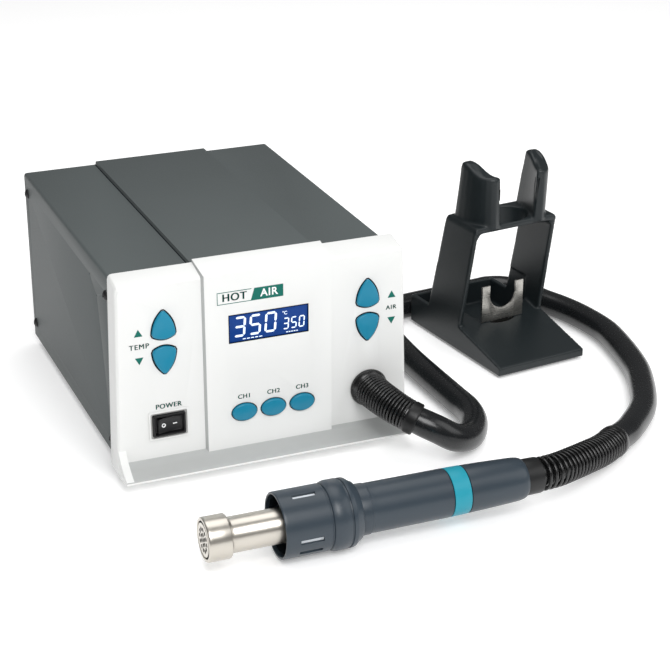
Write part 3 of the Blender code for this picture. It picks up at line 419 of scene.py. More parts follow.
def sieveTree():
    # a disc pierced by a middle hole and rings of round holes
    inputs = (("Plate", "Float", 0.0085), ("Hole", "Float", 0.0007), ("Pitch", "Float", 0.0022),
              ("Thickness", "Float", 0.0010), ("Material", "Material", None))
    tree, groupIn, groupOut = newTree("sievePlate", inputs)
    nodes, links = tree.nodes, tree.links
    plate = nodes.new("GeometryNodeMeshCylinder")
    plate.inputs["Vertices"].default_value = 64
    links.new(groupIn.outputs["Plate"], plate.inputs["Radius"])
    links.new(groupIn.outputs["Thickness"], plate.inputs["Depth"])
    drill = nodes.new("GeometryNodeMeshCylinder")
    drill.inputs["Vertices"].default_value = 20
    drill.inputs["Depth"].default_value = 0.01
    links.new(groupIn.outputs["Hole"], drill.inputs["Radius"])
    join = nodes.new("GeometryNodeJoinGeometry")
    links.new(drill.outputs["Mesh"], join.inputs[0])
    for ring, count in ((1, 6), (2, 12)):
        hoop = nodes.new("GeometryNodeMeshCircle")
        hoop.inputs["Vertices"].default_value = count
        reach = nodes.new("ShaderNodeMath")
        reach.operation = "MULTIPLY"
        reach.inputs[1].default_value = float(ring)
        links.new(groupIn.outputs["Pitch"], reach.inputs[0])
        links.new(reach.outputs[0], hoop.inputs["Radius"])
        place = nodes.new("GeometryNodeInstanceOnPoints")
        links.new(hoop.outputs["Mesh"], place.inputs["Points"])
        links.new(drill.outputs["Mesh"], place.inputs["Instance"])
        links.new(place.outputs[0], join.inputs[0])
    real = nodes.new("GeometryNodeRealizeInstances")
    links.new(join.outputs[0], real.inputs[0])
    pierce = nodes.new("GeometryNodeMeshBoolean")
    pierce.operation = "DIFFERENCE"
    links.new(plate.outputs["Mesh"], pierce.inputs["Mesh 1"])
    links.new(real.outputs[0], pierce.inputs["Mesh 2"])
    finishTree(tree, groupIn, groupOut, pierce.outputs["Mesh"])
    return tree


def seedObject(name, vertices=(), edges=(), faces=()):
    mesh = bpy.data.meshes.new(name)
    mesh.from_pydata(vertices, edges, faces)
    thing = bpy.data.objects.new(name, mesh)
    bpy.context.scene.collection.objects.link(thing)
    return thing


def pathObject(name, points):
    curve = bpy.data.curves.new(name, "CURVE")
    curve.dimensions = "3D"
    spline = curve.splines.new("POLY")
    spline.points.add(len(points) - 1)
    for target, point in zip(spline.points, points):
        target.co = (*point, 1.0)
    thing = bpy.data.objects.new(name, curve)
    bpy.context.scene.collection.objects.link(thing)
    return thing


# the hose leaves the panel, runs back and round behind the stand, and comes forward to the handset
hose = {"radius": 0.00875, "face": 0.030, "boot": 0.0377, "band": 0.0058, "relief": 0.0845,
        "cuffInset": 0.0142, "gap": 0.0006}
route = [Vector(p) + bench for p in (
    (0.0680, 0.0300, 0.0380), (0.0680, 0.0100, 0.0380), (0.0682, -0.0060, 0.0378),
    (0.0712, -0.0180, 0.0360), (0.0765, -0.0290, 0.0330), (0.0840, -0.0375, 0.0292),
    (0.0950, -0.0440, 0.0236), (0.1070, -0.0450, 0.0162), (0.1215, -0.0360, 0.0106),
    (0.1330, -0.0185, 0.0092), (0.1380, 0.0000, 0.00885), (0.1378, 0.0200, 0.00885),
    (0.1370, 0.0550, 0.00885), (0.1368, 0.0880, 0.00885), (0.1385, 0.1200, 0.00885),
    (0.1430, 0.1480, 0.00885), (0.1530, 0.1660, 0.00885), (0.1683, 0.1735, 0.00885),
    (0.2060, 0.1783, 0.00885), (0.2358, 0.1820, 0.00885), (0.2440, 0.1827, 0.00885),
    (0.2560, 0.1775, 0.00885), (0.2645, 0.1630, 0.00885), (0.2710, 0.1430, 0.00885),
    (0.2770, 0.1270, 0.00885), (0.2815, 0.1090, 0.00885), (0.2842, 0.0860, 0.00885),
    (0.2832, 0.0660, 0.00885), (0.2750, 0.0270, 0.00885), (0.2650, -0.0010, 0.00885),
    (0.2450, -0.0370, 0.00900), (0.2200, -0.0630, 0.0098), (0.2040, -0.0745, 0.0108),
    (0.1850, -0.0885, 0.0132), (0.1670, -0.0995, 0.0166), (0.1510, -0.1078, 0.0190),
    (0.1410, -0.1124, 0.0203), (0.1335, -0.1147, 0.0211), (0.1262, -0.1154, 0.0213),
    (0.1130, -0.1151, 0.0212))]


def smoothLine(points):
    # points along a smooth curve through the route, and the length up to each
    knots = [2 * points[0] - points[1]] + points + [2 * points[-1] - points[-2]]
    fine = []
    for a, b, c, d in zip(knots, knots[1:], knots[2:], knots[3:]):
        for k in range(24):
            t = k / 24.0
            fine.append(0.5 * (2 * b + (c - a) * t + (2 * a - 5 * b + 4 * c - d) * t * t
                               + (3 * b - a - 3 * c + d) * t ** 3))
    fine.append(knots[-2])
    lengths = [0.0]
    for a, b in zip(fine, fine[1:]):
        lengths.append(lengths[-1] + (b - a).length)
    return fine, lengths


fine, lengths = smoothLine(route)
total = lengths[-1]


def along(distance):
    distance = min(max(distance, 0.0), total)
    for i in range(len(fine) - 1):
        if distance <= lengths[i + 1]:
            return fine[i].lerp(fine[i + 1], (distance - lengths[i]) / (lengths[i + 1] - lengths[i]))
    return fine[-1]


def crossFrame(distance):
    # a place on the line, and the two directions square to it there
    heading = (along(distance + 0.0008) - along(distance - 0.0008)).normalized()
    side = heading.cross(Vector((0, 0, 1))).normalized()
    return along(distance), side, side.cross(heading)


def sleeve(stations, steps, flute=None):
    # rings along the line at (distance, radius) stations; a flute changes the radius round the ring
    rings = []
    for distance, radius in stations:
        centre, side, lift = crossFrame(distance)
        ring = []
        for i in range(steps):
            turn = 2 * math.pi * i / steps
            r = radius + (flute(distance, i) if flute else 0.0)
            ring.append(centre + r * (math.cos(turn) * side + math.sin(turn) * lift))
        rings.append(ring)
    return loft(rings)


def spaced(start, end, count):
    return [start + (end - start) * i / (count - 1) for i in range(count)]


bootEnd = hose["face"] + hose["boot"]
bandStart = bootEnd + 0.0003
bandEnd = bandStart + hose["band"]
hoseStart = bandEnd + hose["gap"]
reliefStart = total - hose["cuffInset"]
reliefEnd = reliefStart - hose["relief"]
hoseEnd = reliefEnd - hose["gap"]


def buildHose():
    # the free hose, a little pulled in where the two end bands grip it
    stations = []
    for distance in spaced(hoseStart - 0.0025, hoseEnd + 0.0025, 300):
        nearEnd = max(min(distance - hoseStart, hoseEnd - distance), 0.0)
        radius = hose["radius"] * (1.0 - 0.03 * math.exp(-nearEnd / 0.003))
        stations.append((distance, radius))
    tube = piece("airHose", sleeve(stations, 64), "hoseRubber", None, ("air_hose",),
                 sharp=60.0)
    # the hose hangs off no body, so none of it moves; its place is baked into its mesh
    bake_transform(tube)


def buildBoot(tree):
    # ribbed boot: a flared root on the panel, a core, rings along it, then a knurled end band
    face = hose["face"]
    core = [(face + 0.0002, 0.0112), (face + 0.0003, 0.0120), (face + 0.0012, 0.0122),
            (face + 0.0022, 0.0118), (face + 0.0034, 0.0104), (face + 0.0046, 0.0090),
            (face + 0.0060, 0.0085)]
    core += [(d, 0.0084) for d in spaced(face + 0.009, bootEnd - 0.0014, 12)]
    core += [(bootEnd - 0.0008, 0.0094), (bootEnd, 0.0092)]
    piece("bootCore", sleeve(core, 64), "ribRubber", "bench_unit", ("hose_boot",), sharp=50.0)
    path = pathObject("bootPath", [along(d) for d in spaced(face + 0.0048, bootEnd - 0.0010, 60)])
    rings = runTree(tree, path, {"Count": 17, "Start Radius": 0.0101, "End Radius": 0.0094, "Rib": 0.00082,
                                 "Flatten": 1.0}, "bootRings", "ribRubber")
    settle(rings, "bench_unit")

    def knurl(distance, i):
        inside = bandStart + 0.0008 < distance < bandEnd - 0.0008
        return (0.00022 if (i + int(round(distance * 4000))) % 2 else -0.00012) if inside else 0.0
    band = [(bandStart, 0.0092), (bandStart, 0.0099), (bandStart + 0.0005, 0.0101)]
    band += [(d, 0.0101) for d in spaced(bandStart + 0.0010, bandEnd - 0.0010, 16)]
    band += [(bandEnd - 0.0005, 0.0101), (bandEnd, 0.0097), (bandEnd, 0.0088), (bandEnd - 0.0040, 0.0088)]
    piece("bootBand", sleeve(band, 96, flute=knurl), "cuffPlastic", "bench_unit",
          ("hose_boot_band",), sharp=50.0)


def buildRelief(tree):
    # the handset's strain relief: a slim core with rings, and a plain end band
    core = [(reliefStart + 0.0020, 0.0060), (reliefStart + 0.0020, 0.0077), (reliefStart, 0.0078)]
    core += [(d, 0.0077) for d in spaced(reliefStart - 0.001, reliefEnd + 0.007, 40)]
    core += [(reliefEnd + 0.0062, 0.0088), (reliefEnd + 0.0060, 0.0098), (reliefEnd + 0.0052, 0.0102),
             (reliefEnd + 0.0008, 0.0101), (reliefEnd, 0.0097), (reliefEnd, 0.0088),
             (reliefEnd + 0.0040, 0.0088)]
    piece("reliefCore", sleeve(core, 64), "ribRubber", "handset", ("strain_relief",),
          sharp=50.0)
    first, last = reliefStart - 0.0016, reliefEnd + 0.0080
    path = pathObject("reliefPath", [along(d) for d in spaced(first, last, 90)])
    rings = runTree(tree, path, {"Count": 22, "Start Radius": 0.0093, "End Radius": 0.0090, "Rib": 0.00105,
                                 "Flatten": 0.90}, "reliefRings", "ribRubber")
    settle(rings, "handset")


def buildHandset(tree):
    def turned(name, profile, finish, replaces=(), steps=80, sharp=35.0):
        return piece(name, lathe(profile, steps), finish, "handset", replaces, handsetPlace, sharp)

    turned("outletCollar", [(0.0105, 0.0012), (0.0108, 0.0003), (0.0113, 0.0), (0.0124, 0.0002),
                            (0.0128, 0.0008), (0.0128, 0.0020), (0.01275, 0.0070), (0.0128, 0.0126),
                            (0.0127, 0.0132), (0.0122, 0.0137), (0.0105, 0.0138), (0.0105, 0.0100)],
           "turnedSteel", ("outlet_collar",))
    turned("heaterTube", [(0.0090, 0.0040), (0.0100, 0.0036), (0.0102, 0.0040), (0.0102, 0.0130),
                          (0.0102, 0.0146), (0.0100, 0.0150), (0.0102, 0.0154), (0.0102, 0.0800),
                          (0.0090, 0.0800)],
           "turnedSteel", ("heater_tube",))
    # a dark disc just behind the outlet plate, painted shade seen through its holes
    turned("outletPaintedShade", [(0.0001, 0.0008), (0.0104, 0.0008), (0.0104, 0.0011), (0.0001, 0.0011)],
           "darkGap")
    sieveSizes = {"Plate": 0.0097, "Hole": 0.00130, "Pitch": 0.00315, "Thickness": 0.0003}
    seed = seedObject("sieveSeed", [(0, 0, 0)])
    sieve = runTree(tree, seed, sieveSizes, "outletSieve", "turnedSteel")
    # the walls of the holes are coloured dark as painted shade inside the holes, and the plate's faces and
    # rim are bright
    sieve.data.materials.append(finishes["darkGap"])
    for face in sieve.data.polygons:
        if abs(face.normal.z) < 0.5 and face.center.xy.length < sieveSizes["Plate"] - 0.0007:
            face.material_index = 1
    facing = Matrix.Translation((0.0003, 0, 0)) @ Matrix.Rotation(math.pi / 2, 4, "Y")
    sieve.data.transform(handsetPlace @ facing)
    sieve.data.shade_flat()
    settle(sieve, "handset", ("outlet_grille",))
    buildShroud()
    turned("clampRing", [(0.0168, 0.0690), (0.0184, 0.0690), (0.0185, 0.0693), (0.0185, 0.0702),
                         (0.0192, 0.0706), (0.0199, 0.0722), (0.0202, 0.0738), (0.0202, 0.0800),
                         (0.0200, 0.0803), (0.0194, 0.0804), (0.0193, 0.0810), (0.0194, 0.0816),
                         (0.0200, 0.0818), (0.0200, 0.0836), (0.0197, 0.0844), (0.0176, 0.0872),
                         (0.0170, 0.0884), (0.0164, 0.0888), (0.0152, 0.0889), (0.0152, 0.0760)],
           "handsetSlate", ("clamp_ring",))
    turned("gripShell", [(0.0110, 0.0780), (0.0147, 0.0780), (0.0147, 0.0890), (0.01475, 0.0893),
                         (0.0148, 0.0896), (0.0148, 0.0950), (0.01445, 0.0953), (0.01435, 0.0960),
                         (0.0144, 0.1000), (0.0143, 0.1200), (0.0142, 0.1444), (0.0139, 0.1447),
                         (0.0136, 0.1447), (0.0136, 0.1561), (0.0137, 0.1561), (0.0139, 0.1563),
                         (0.01395, 0.1568), (0.0136, 0.1700), (0.0131, 0.1830), (0.0128, 0.1885),
                         (0.0124, 0.1912), (0.0118, 0.1928), (0.0112, 0.1935), (0.0100, 0.1936),
                         (0.0100, 0.1850)],
           "handsetSlate", ("grip_shell",), sharp=28.0)
    turned("gripBand", [(0.0134, 0.1451), (0.0139, 0.1451), (0.0142, 0.1454), (0.01415, 0.1500),
                        (0.01405, 0.1552), (0.0138, 0.1557), (0.0134, 0.1557)],
           "bandTeal", ("grip_band",))
    turned("gripBandLines", [(0.0134, 0.1448), (0.01385, 0.1448), (0.01385, 0.1560), (0.0134, 0.1560)],
           "darkGap")
    turned("rearCuff", [(0.0090, 0.1900), (0.0107, 0.1900), (0.0108, 0.1950), (0.0107, 0.2028),
                        (0.0104, 0.2038), (0.0098, 0.2041), (0.0080, 0.2041)],
           "cuffPlastic", ("rear_cuff",))


def buildShroud():
    # thin heat shield with slots cut through its wall, a pale lining behind them and, inside it, a dark
    # sleeve of painted shade
    sizes = {"mouth": 0.0420, "outer": 0.0192, "inner": 0.0177, "slotFrom": 0.0503, "slotTo": 0.0640,
             "slotWidth": 0.0029, "slotTurns": (14.0, 98.0, 124.0, 208.0, 234.0, 318.0)}
    mouth, outer, inner, halfSlot = sizes["mouth"], sizes["outer"], sizes["inner"], sizes["slotWidth"] / 2
    wall = [(inner, mouth + 0.0004), (inner + 0.0004, mouth), (outer - 0.0005, mouth),
            (outer - 0.0001, mouth + 0.0004), (outer, mouth + 0.0010)]
    wall += [(outer, s) for s in spaced(0.0440, 0.0690, 12)]
    wall += [(0.0189, 0.0694), (0.0185, 0.0695), (0.0185, 0.0740), (0.0110, 0.0748), (0.0110, 0.0736),
             (0.0160, 0.0730), (0.0172, 0.0720), (inner, 0.0700), (inner, 0.0560)]
    shell = lathe(wall, 96)
    bars = []
    for turn in sizes["slotTurns"]:
        bar = boxShape((sizes["slotFrom"], -halfSlot, 0.0120), (sizes["slotTo"], halfSlot, 0.0240))
        spin = Matrix.Rotation(math.radians(turn), 3, "X")
        bmesh.ops.rotate(bar, cent=(0, 0, 0), matrix=spin, verts=bar.verts)
        bars.append(bar)
    bmesh.ops.recalc_face_normals(shell, faces=shell.faces)
    shell = cutAway(shell, "shroudCut", joined(*bars))
    piece("shroudShell", shell, "handsetSlate", "handset", ("shroud",), handsetPlace, 30.0)
    lining = [(0.0170, 0.0485), (0.01765, 0.0485), (0.01765, 0.0665), (0.0170, 0.0665)]
    piece("shroudLining", lathe(lining, 64), "slotLining", "handset", (), handsetPlace, 30.0)
    # a dark sleeve inside the lining, painted shade for the inside seen from the mouth
    shade = [(0.0164, 0.0440), (0.0168, 0.0440), (0.0168, 0.0668), (0.0164, 0.0668)]
    piece("shroudPaintedShade", lathe(shade, 64), "darkGap", "handset", (), handsetPlace, 30.0)


def keyOutline(x, base, tip, grow, half=0.0074, bulges=(0.0026, 0.0019, 0.0019), steps=9):
    # a triangle with bulging sides; it points down where the tip is below the base
    corners = [Vector((x - half, base)), Vector((x + half, base)), Vector((x, tip))]
    centroid = (corners[0] + corners[1] + corners[2]) / 3.0
    points = []
    for i in range(3):
        a, b = corners[i], corners[(i + 1) % 3]
        outward = ((a + b) / 2.0 - centroid).normalized()
        for k in range(steps):
            t = (k + 0.5) / steps
            points.append(a.lerp(b, t) + outward * bulges[i] * 4.0 * t * (1.0 - t))
    if tip < base:
        points.reverse()
    return [tuple(p + (p - centroid).normalized() * grow) for p in points]


def pillow(outline, back, front, crown, rings=7):
    # a key top: a straight side, a rounded shoulder and a crowned face closed at its middle
    middleX, middleZ = [sum(values) / len(outline) for values in zip(*outline)]
    rows = [[(x, back, z) for x, z in outline], [(x, front + crown * 0.9, z) for x, z in outline]]
    for k in range(1, rings + 1):
        t = k / rings
        keep = 1.0 - 0.985 * t ** 1.6
        y = front + crown * (1.0 - t ** 0.5) * 0.9
        rows.append([(middleX + (x - middleX) * keep, y, middleZ + (z - middleZ) * keep) for x, z in outline])
    return loft(rows)


def buildKeys():
    keys = {"tempX": -0.0627, "airX": 0.0670, "upBase": 0.0948, "upTip": 0.1107, "downBase": 0.0852,
            "downTip": 0.0697, "channelX": (-0.0144, 0.0043, 0.0230), "channelZ": 0.0370}
    wells = []  # dark wells round the keys, painted shade in the gaps between the keys and the panel
    for column, x in (("temp", keys["tempX"]), ("air", keys["airX"])):
        for way in ("up", "down"):
            base, tip = keys[way + "Base"], keys[way + "Tip"]
            name = "%s_%s_key" % (column, way)
            piece(name + "Top", pillow(keyOutline(x, base, tip, -0.0001), 0.0060, -0.0022, 0.0012), "keyTeal",
                  name + "_body", (name,), benchPlace, 50.0)
            wells.append(rimRing(keyOutline(x, base, tip, 0.00085), keyOutline(x, base, tip, 0.0001),
                                 -0.00012, 0.0020))
    z = keys["channelZ"]
    for i, x in enumerate(keys["channelX"]):
        name = "channel_key_%d" % (i + 1)
        piece(name + "Top", pillow(oval(x, z, 0.0078, 0.0055), 0.0060, -0.0042, 0.0014), "keyTeal",
              name + "_body", (name,), benchPlace, 50.0)
        wells.append(rimRing(oval(x, z, 0.0084, 0.0061), oval(x, z, 0.0081, 0.0058), -0.00212, 0.0))
    piece("keyWells", joined(*wells), "darkGap", "bench_unit", (), benchPlace)


def textShape(words, size, x, z, y, spread=1.0, weight=0.0):
    # raised words on the panel's face, centred on x and z
    curve = bpy.data.curves.new("label", "FONT")
    curve.body = words
    curve.size = size
    curve.align_x = "CENTER"
    curve.align_y = "CENTER"
    curve.space_character = spread
    curve.offset = weight
    curve.extrude = 0.00003
    label = bpy.data.objects.new("label", curve)
    bpy.context.scene.collection.objects.link(label)
    mesh = bpy.data.meshes.new_from_object(label.evaluated_get(bpy.context.evaluated_depsgraph_get()))
    shape = bmesh.new()
    shape.from_mesh(mesh)
    bpy.data.objects.remove(label, do_unlink=True)
    shape.transform(Matrix.Translation((x, y, z)) @ Matrix.Rotation(math.pi / 2, 4, "X"))
    return shape


def boldWords(words, size, x, z, y, spread, shift=0.00012):
    # three copies a hair apart make the strokes heavier
    return joined(*[textShape(words, size, x + step * shift, z, y, spread) for step in (-1, 0, 1)])


def triangle(x, z, half, height):
    return slab([(x - half, z - height / 2), (x + half, z - height / 2), (x, z + height / 2)], 0.0, -0.00008)


def buildPrint():
    marks = [boldWords("TEMP", 0.0045, -0.0778, 0.0893, -0.00006, 1.20),
             boldWords("AIR", 0.0040, 0.0828, 0.0892, -0.00006, 1.2),
             boldWords("POWER", 0.0044, -0.0613, 0.0488, -0.00006, 1.1, 0.00016)]
    for i, x in enumerate((-0.0142, 0.0045, 0.0232)):
        marks.append(boldWords("CH%d" % (i + 1), 0.0041, x, 0.0472, -0.00206, 1.1))
    for x, up, down in ((-0.0780, 0.0982, 0.0802), (0.0830, 0.0980, 0.0805)):
        marks.append(triangle(x, up, 0.0026, 0.0046))
        marks.append(triangle(x, down, 0.0026, -0.0046))
    # a plain two-part label: an outlined half and a filled half
    marks.append(boldWords("HOT", 0.0068, -0.0192, 0.1126, -0.00208, 1.12, 0.00022))
    for low, high in (((-0.0300, 0.1087), (-0.0084, 0.1091)), ((-0.0300, 0.1161), (-0.0084, 0.1165)),
                      ((-0.0300, 0.1087), (-0.0296, 0.1165))):
        marks.append(boxShape((low[0], -0.00210, low[1]), (high[0], -0.0019, high[1])))
    filled = [(-0.0090, 0.1087), (0.0116, 0.1087), (0.0116, 0.1165), (-0.0066, 0.1165)]
    marks.append(slab(filled, -0.0019, -0.00208))
    words = textShape("AIR", 0.0066, 0.0026, 0.1126, -0.00214, 1.12, 0.00014)
    piece("labelWords", words, "printWhite", "bench_unit", (), benchPlace)
    piece("panelPrint", joined(*marks), "printTeal", "bench_unit", (), benchPlace)


def digit(pattern, x, z, width, height, stroke, lean, y):
    # seven bars: top, upper left, upper right, middle, lower left, lower right, bottom
    half = height / 2
    bars = {"a": ((0, half), (width, half)), "b": ((0, 0), (0, half)), "c": ((width, 0), (width, half)),
            "d": ((0, 0), (width, 0)), "e": ((0, -half), (0, 0)), "f": ((width, -half), (width, 0)),
            "g": ((0, -half), (width, -half))}
    shapes = []
    for key in pattern:
        a, b = Vector(bars[key][0]), Vector(bars[key][1])
        run = (b - a).normalized()
        across = Vector((-run.y, run.x)) * stroke / 2
        a, b = a + run * stroke * 0.16, b - run * stroke * 0.16
        outline = [a, a + run * stroke * 0.5 + across, b - run * stroke * 0.5 + across, b,
                   b - run * stroke * 0.5 - across, a + run * stroke * 0.5 - across]
        outline = [(x + p.x + lean * p.y, z + p.y) for p in reversed(outline)]
        shapes.append(slab(outline, y + 0.0001, y))
    return shapes


def buildDisplay():
    low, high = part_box("lcd_window")
    left, right, bottom, top = low[0] - bench.x, high[0] - bench.x, low[2], high[2]
    width, height = right - left, top - bottom
    level = -0.0018  # the figures stand just proud of the glass
    window = boxShape((left, -0.00170, bottom), (right, 0.0004, top), 0.0002, 2)
    piece("lcdGlass", window, "lcdBlue", "bench_unit", ("lcd_window",), benchPlace)

    def frameAt(grow):
        return [(left - grow, bottom - grow), (right + grow, bottom - grow), (right + grow, top + grow),
                (left - grow, top + grow)]
    rim = rimRing(frameAt(0.0003), frameAt(-0.0002), -0.00212, -0.0010)
    piece("lcdRim", rim, "darkGap", "bench_unit", (), benchPlace)
    patterns = {"3": "acdfg", "5": "abdfg", "0": "abcefg"}
    shapes = []
    for i, key in enumerate("350"):
        shapes += digit(patterns[key], left + width * (0.075 + 0.195 * i), bottom + height * 0.545,
                        width * 0.120, height * 0.66, 0.00140, 0.08, level)
        shapes += digit(patterns[key], left + width * (0.690 + 0.100 * i), bottom + height * 0.40,
                        width * 0.060, height * 0.38, 0.00078, 0.08, level)
    for x, wide in ((0.30, 0.26), (0.80, 0.16)):  # small captions as plain dashes
        for k in range(5):
            start = left + width * (x - wide / 2 + wide * k / 5)
            shapes.append(boxShape((start, level, bottom + height * 0.065),
                                   (start + width * wide / 7, level + 0.0002, bottom + height * 0.095)))
    shapes.append(textShape("C", 0.0030, left + width * 0.715, bottom + height * 0.79, level, 1.0, 0.00004))
    shapes.append(textShape("o", 0.0016, left + width * 0.685, bottom + height * 0.85, level, 1.0, 0.00003))
    piece("lcdDigits", joined(*shapes), "lcdLight", "bench_unit", (), benchPlace)


def buildSwitch():
    sizes = {"x": -0.0616, "z": 0.0368, "width": 0.0210, "height": 0.0146, "reach": 0.0074, "deep": 0.0047,
             "rest": 7.0}
    x, z, halfX, halfZ = sizes["x"], sizes["z"], sizes["width"] / 2, sizes["height"] / 2

    def corners(grow, radius):
        return fillet([(x - halfX - grow, z - halfZ - grow), (x + halfX + grow, z - halfZ - grow),
                       (x + halfX + grow, z + halfZ + grow), (x - halfX - grow, z + halfZ + grow)], radius, 4)
    surround = rimRing(corners(0.0019, 0.0013), corners(0.0009, 0.0010), -0.0009, 0.0002)
    piece("switchSurround", surround, "panelWhite", "bench_unit", (), benchPlace)
    gap = rimRing(corners(0.0009, 0.0010), corners(-0.0004, 0.0008), -0.00008, 0.0002)
    piece("switchShadow", gap, "greyGap", "bench_unit", (), benchPlace)
    bezel = ((-0.0002, 0.0010, 0.0002), (-0.0002, 0.0010, -0.0014), (-0.0006, 0.0010, -0.0020),
             (-0.0013, 0.0008, -0.0021), (-0.0017, 0.0007, -0.0016), (-0.0019, 0.0006, 0.0060),
             (-0.0019, 0.0006, 0.0061))
    rings = [[(a, y, b) for a, b in corners(grow, radius)] for grow, radius, y in bezel]
    piece("switchHousing", loft(rings), "switchBlack", "bench_unit", ("switch_housing",),
          benchPlace, 40.0)
    # a rocker with a faintly hollow face, its right end pressed in
    reach, deep = sizes["reach"], sizes["deep"]
    profile = [(-reach, -0.0014), (-reach * 0.6, -0.0006), (0.0, -0.0003), (reach * 0.6, -0.0006),
               (reach, -0.0014), (reach * 0.92, 0.0010), (reach * 0.5, 0.0030), (0.0, 0.0040),
               (-reach * 0.5, 0.0030), (-reach * 0.92, 0.0010)]
    turn = Matrix.Rotation(math.radians(sizes["rest"]), 4, "Z")
    place = benchPlace @ Matrix.Translation((x, 0.0, z)) @ turn
    rocker = loft([[(a, b, level) for a, b in profile] for level in (-deep, deep)])
    soft = {"width": 0.00035, "segments": 2, "limit_method": "ANGLE", "angle_limit": math.radians(40)}
    rocker = modified(rocker, "rockerSoft", ("BEVEL", soft))
    piece("powerRocker", rocker, "switchBlack", "rocker", ("power_rocker",), place, 40.0)
    ring = rimRing(oval(-0.0037, 0.0, 0.0013, 0.0013, 24), oval(-0.0037, 0.0, 0.0008, 0.0008, 24),
                   -0.00100, -0.0004)
    dash = boxShape((0.0024, -0.00100, -0.00025), (0.0050, -0.0004, 0.00025))
    piece("rockerMarks", joined(ring, dash), "printWhite", "rocker", (), place)


def slopePad(shape):
    # the pad's left side leans, so it reads as a narrow step, which buildHousing colours grey as painted
    # shade
    for vertex in shape.verts:
        if abs(vertex.co.x - bench.x + 0.0390) < 0.0002 and vertex.co.y < bench.y - 0.0010:
            vertex.co.x += 0.0013


def buildHousing(tree):
    panel = softCopy("front_panel", 0.0007, 3, adjust=slopePad)
    moulding = piece("panelMoulding", panel, "panelWhite", "bench_unit", ("front_panel",),
                     sharp=30.0, keepWinding=True)
    moulding.data.materials.append(finishes["panelPaintedShade"])
    for face in moulding.data.polygons:  # painted shade: the lip's top and the pad's left side are coloured grey for the shade they lie in
        spot = face.center - bench
        onLip = spot.y < -0.0006 and 0.0108 < spot.z < 0.0158 and abs(spot.x) < 0.0885 and face.normal.z > 0.3
        if onLip or (abs(spot.x + 0.0385) < 0.0012 and face.normal.x < -0.4):
            face.material_index = 1
    # a thin dark strip at the foot of the ridge's left side, painted shadow of the ridge's step
    shadowStrip = boxShape((-0.0385, 0.0165, 0.1254), (-0.0377, 0.2318, 0.12572))
    piece("ridgePaintedShadow", shadowStrip, "darkGap", "bench_unit", (), benchPlace)
    cover = softCopy("cover", 0.0004, 2, 40.0)
    piece("coverSheet", cover, "coverPaint", "bench_unit", ("cover",), sharp=30.0,
          keepWinding=True)
    # a tiny triangle seeds each screw, and its normal points out of the cover's side
    names, vertices, faces = [], [], []
    for side, label in ((-1, "left"), (1, "right")):
        for i in range(4):
            names.append("cover_screw_%s_%d" % (label, i + 1))
            low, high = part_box(names[-1])
            point = Vector((bench.x + side * 0.0880, (low[1] + high[1]) / 2, (low[2] + high[2]) / 2))
            start = len(vertices)
            ring = [(0.0, 0.00001), (-0.0000087, -0.000005), (0.0000087, -0.000005)]
            vertices += [point + Vector((0.0, side * a, b)) for a, b in ring]
            faces.append((start, start + 1, start + 2))
    seed = seedObject("screwSeed", vertices, (), faces)
    screws = runTree(tree, seed, {"Head": 0.0032, "Rise": 0.0021}, "coverScrews", "blackMetal")
    shape = bmesh.new()
    shape.from_mesh(screws.data)
    bmesh.ops.remove_doubles(shape, verts=shape.verts, dist=0.00003)
    shape.to_mesh(screws.data)
    shape.free()
    settle(screws, "bench_unit", names)


def roundedSection(front, back, outer, inner, z, radius=0.0009, sign=1.0):
    corners = [(outer, front), (inner, front), (inner, back), (outer, back)]
    if sign < 0:
        corners = [(-x, y) for x, y in reversed(corners)]
    return [(x, y, z) for x, y in fillet(corners, radius, 3)]


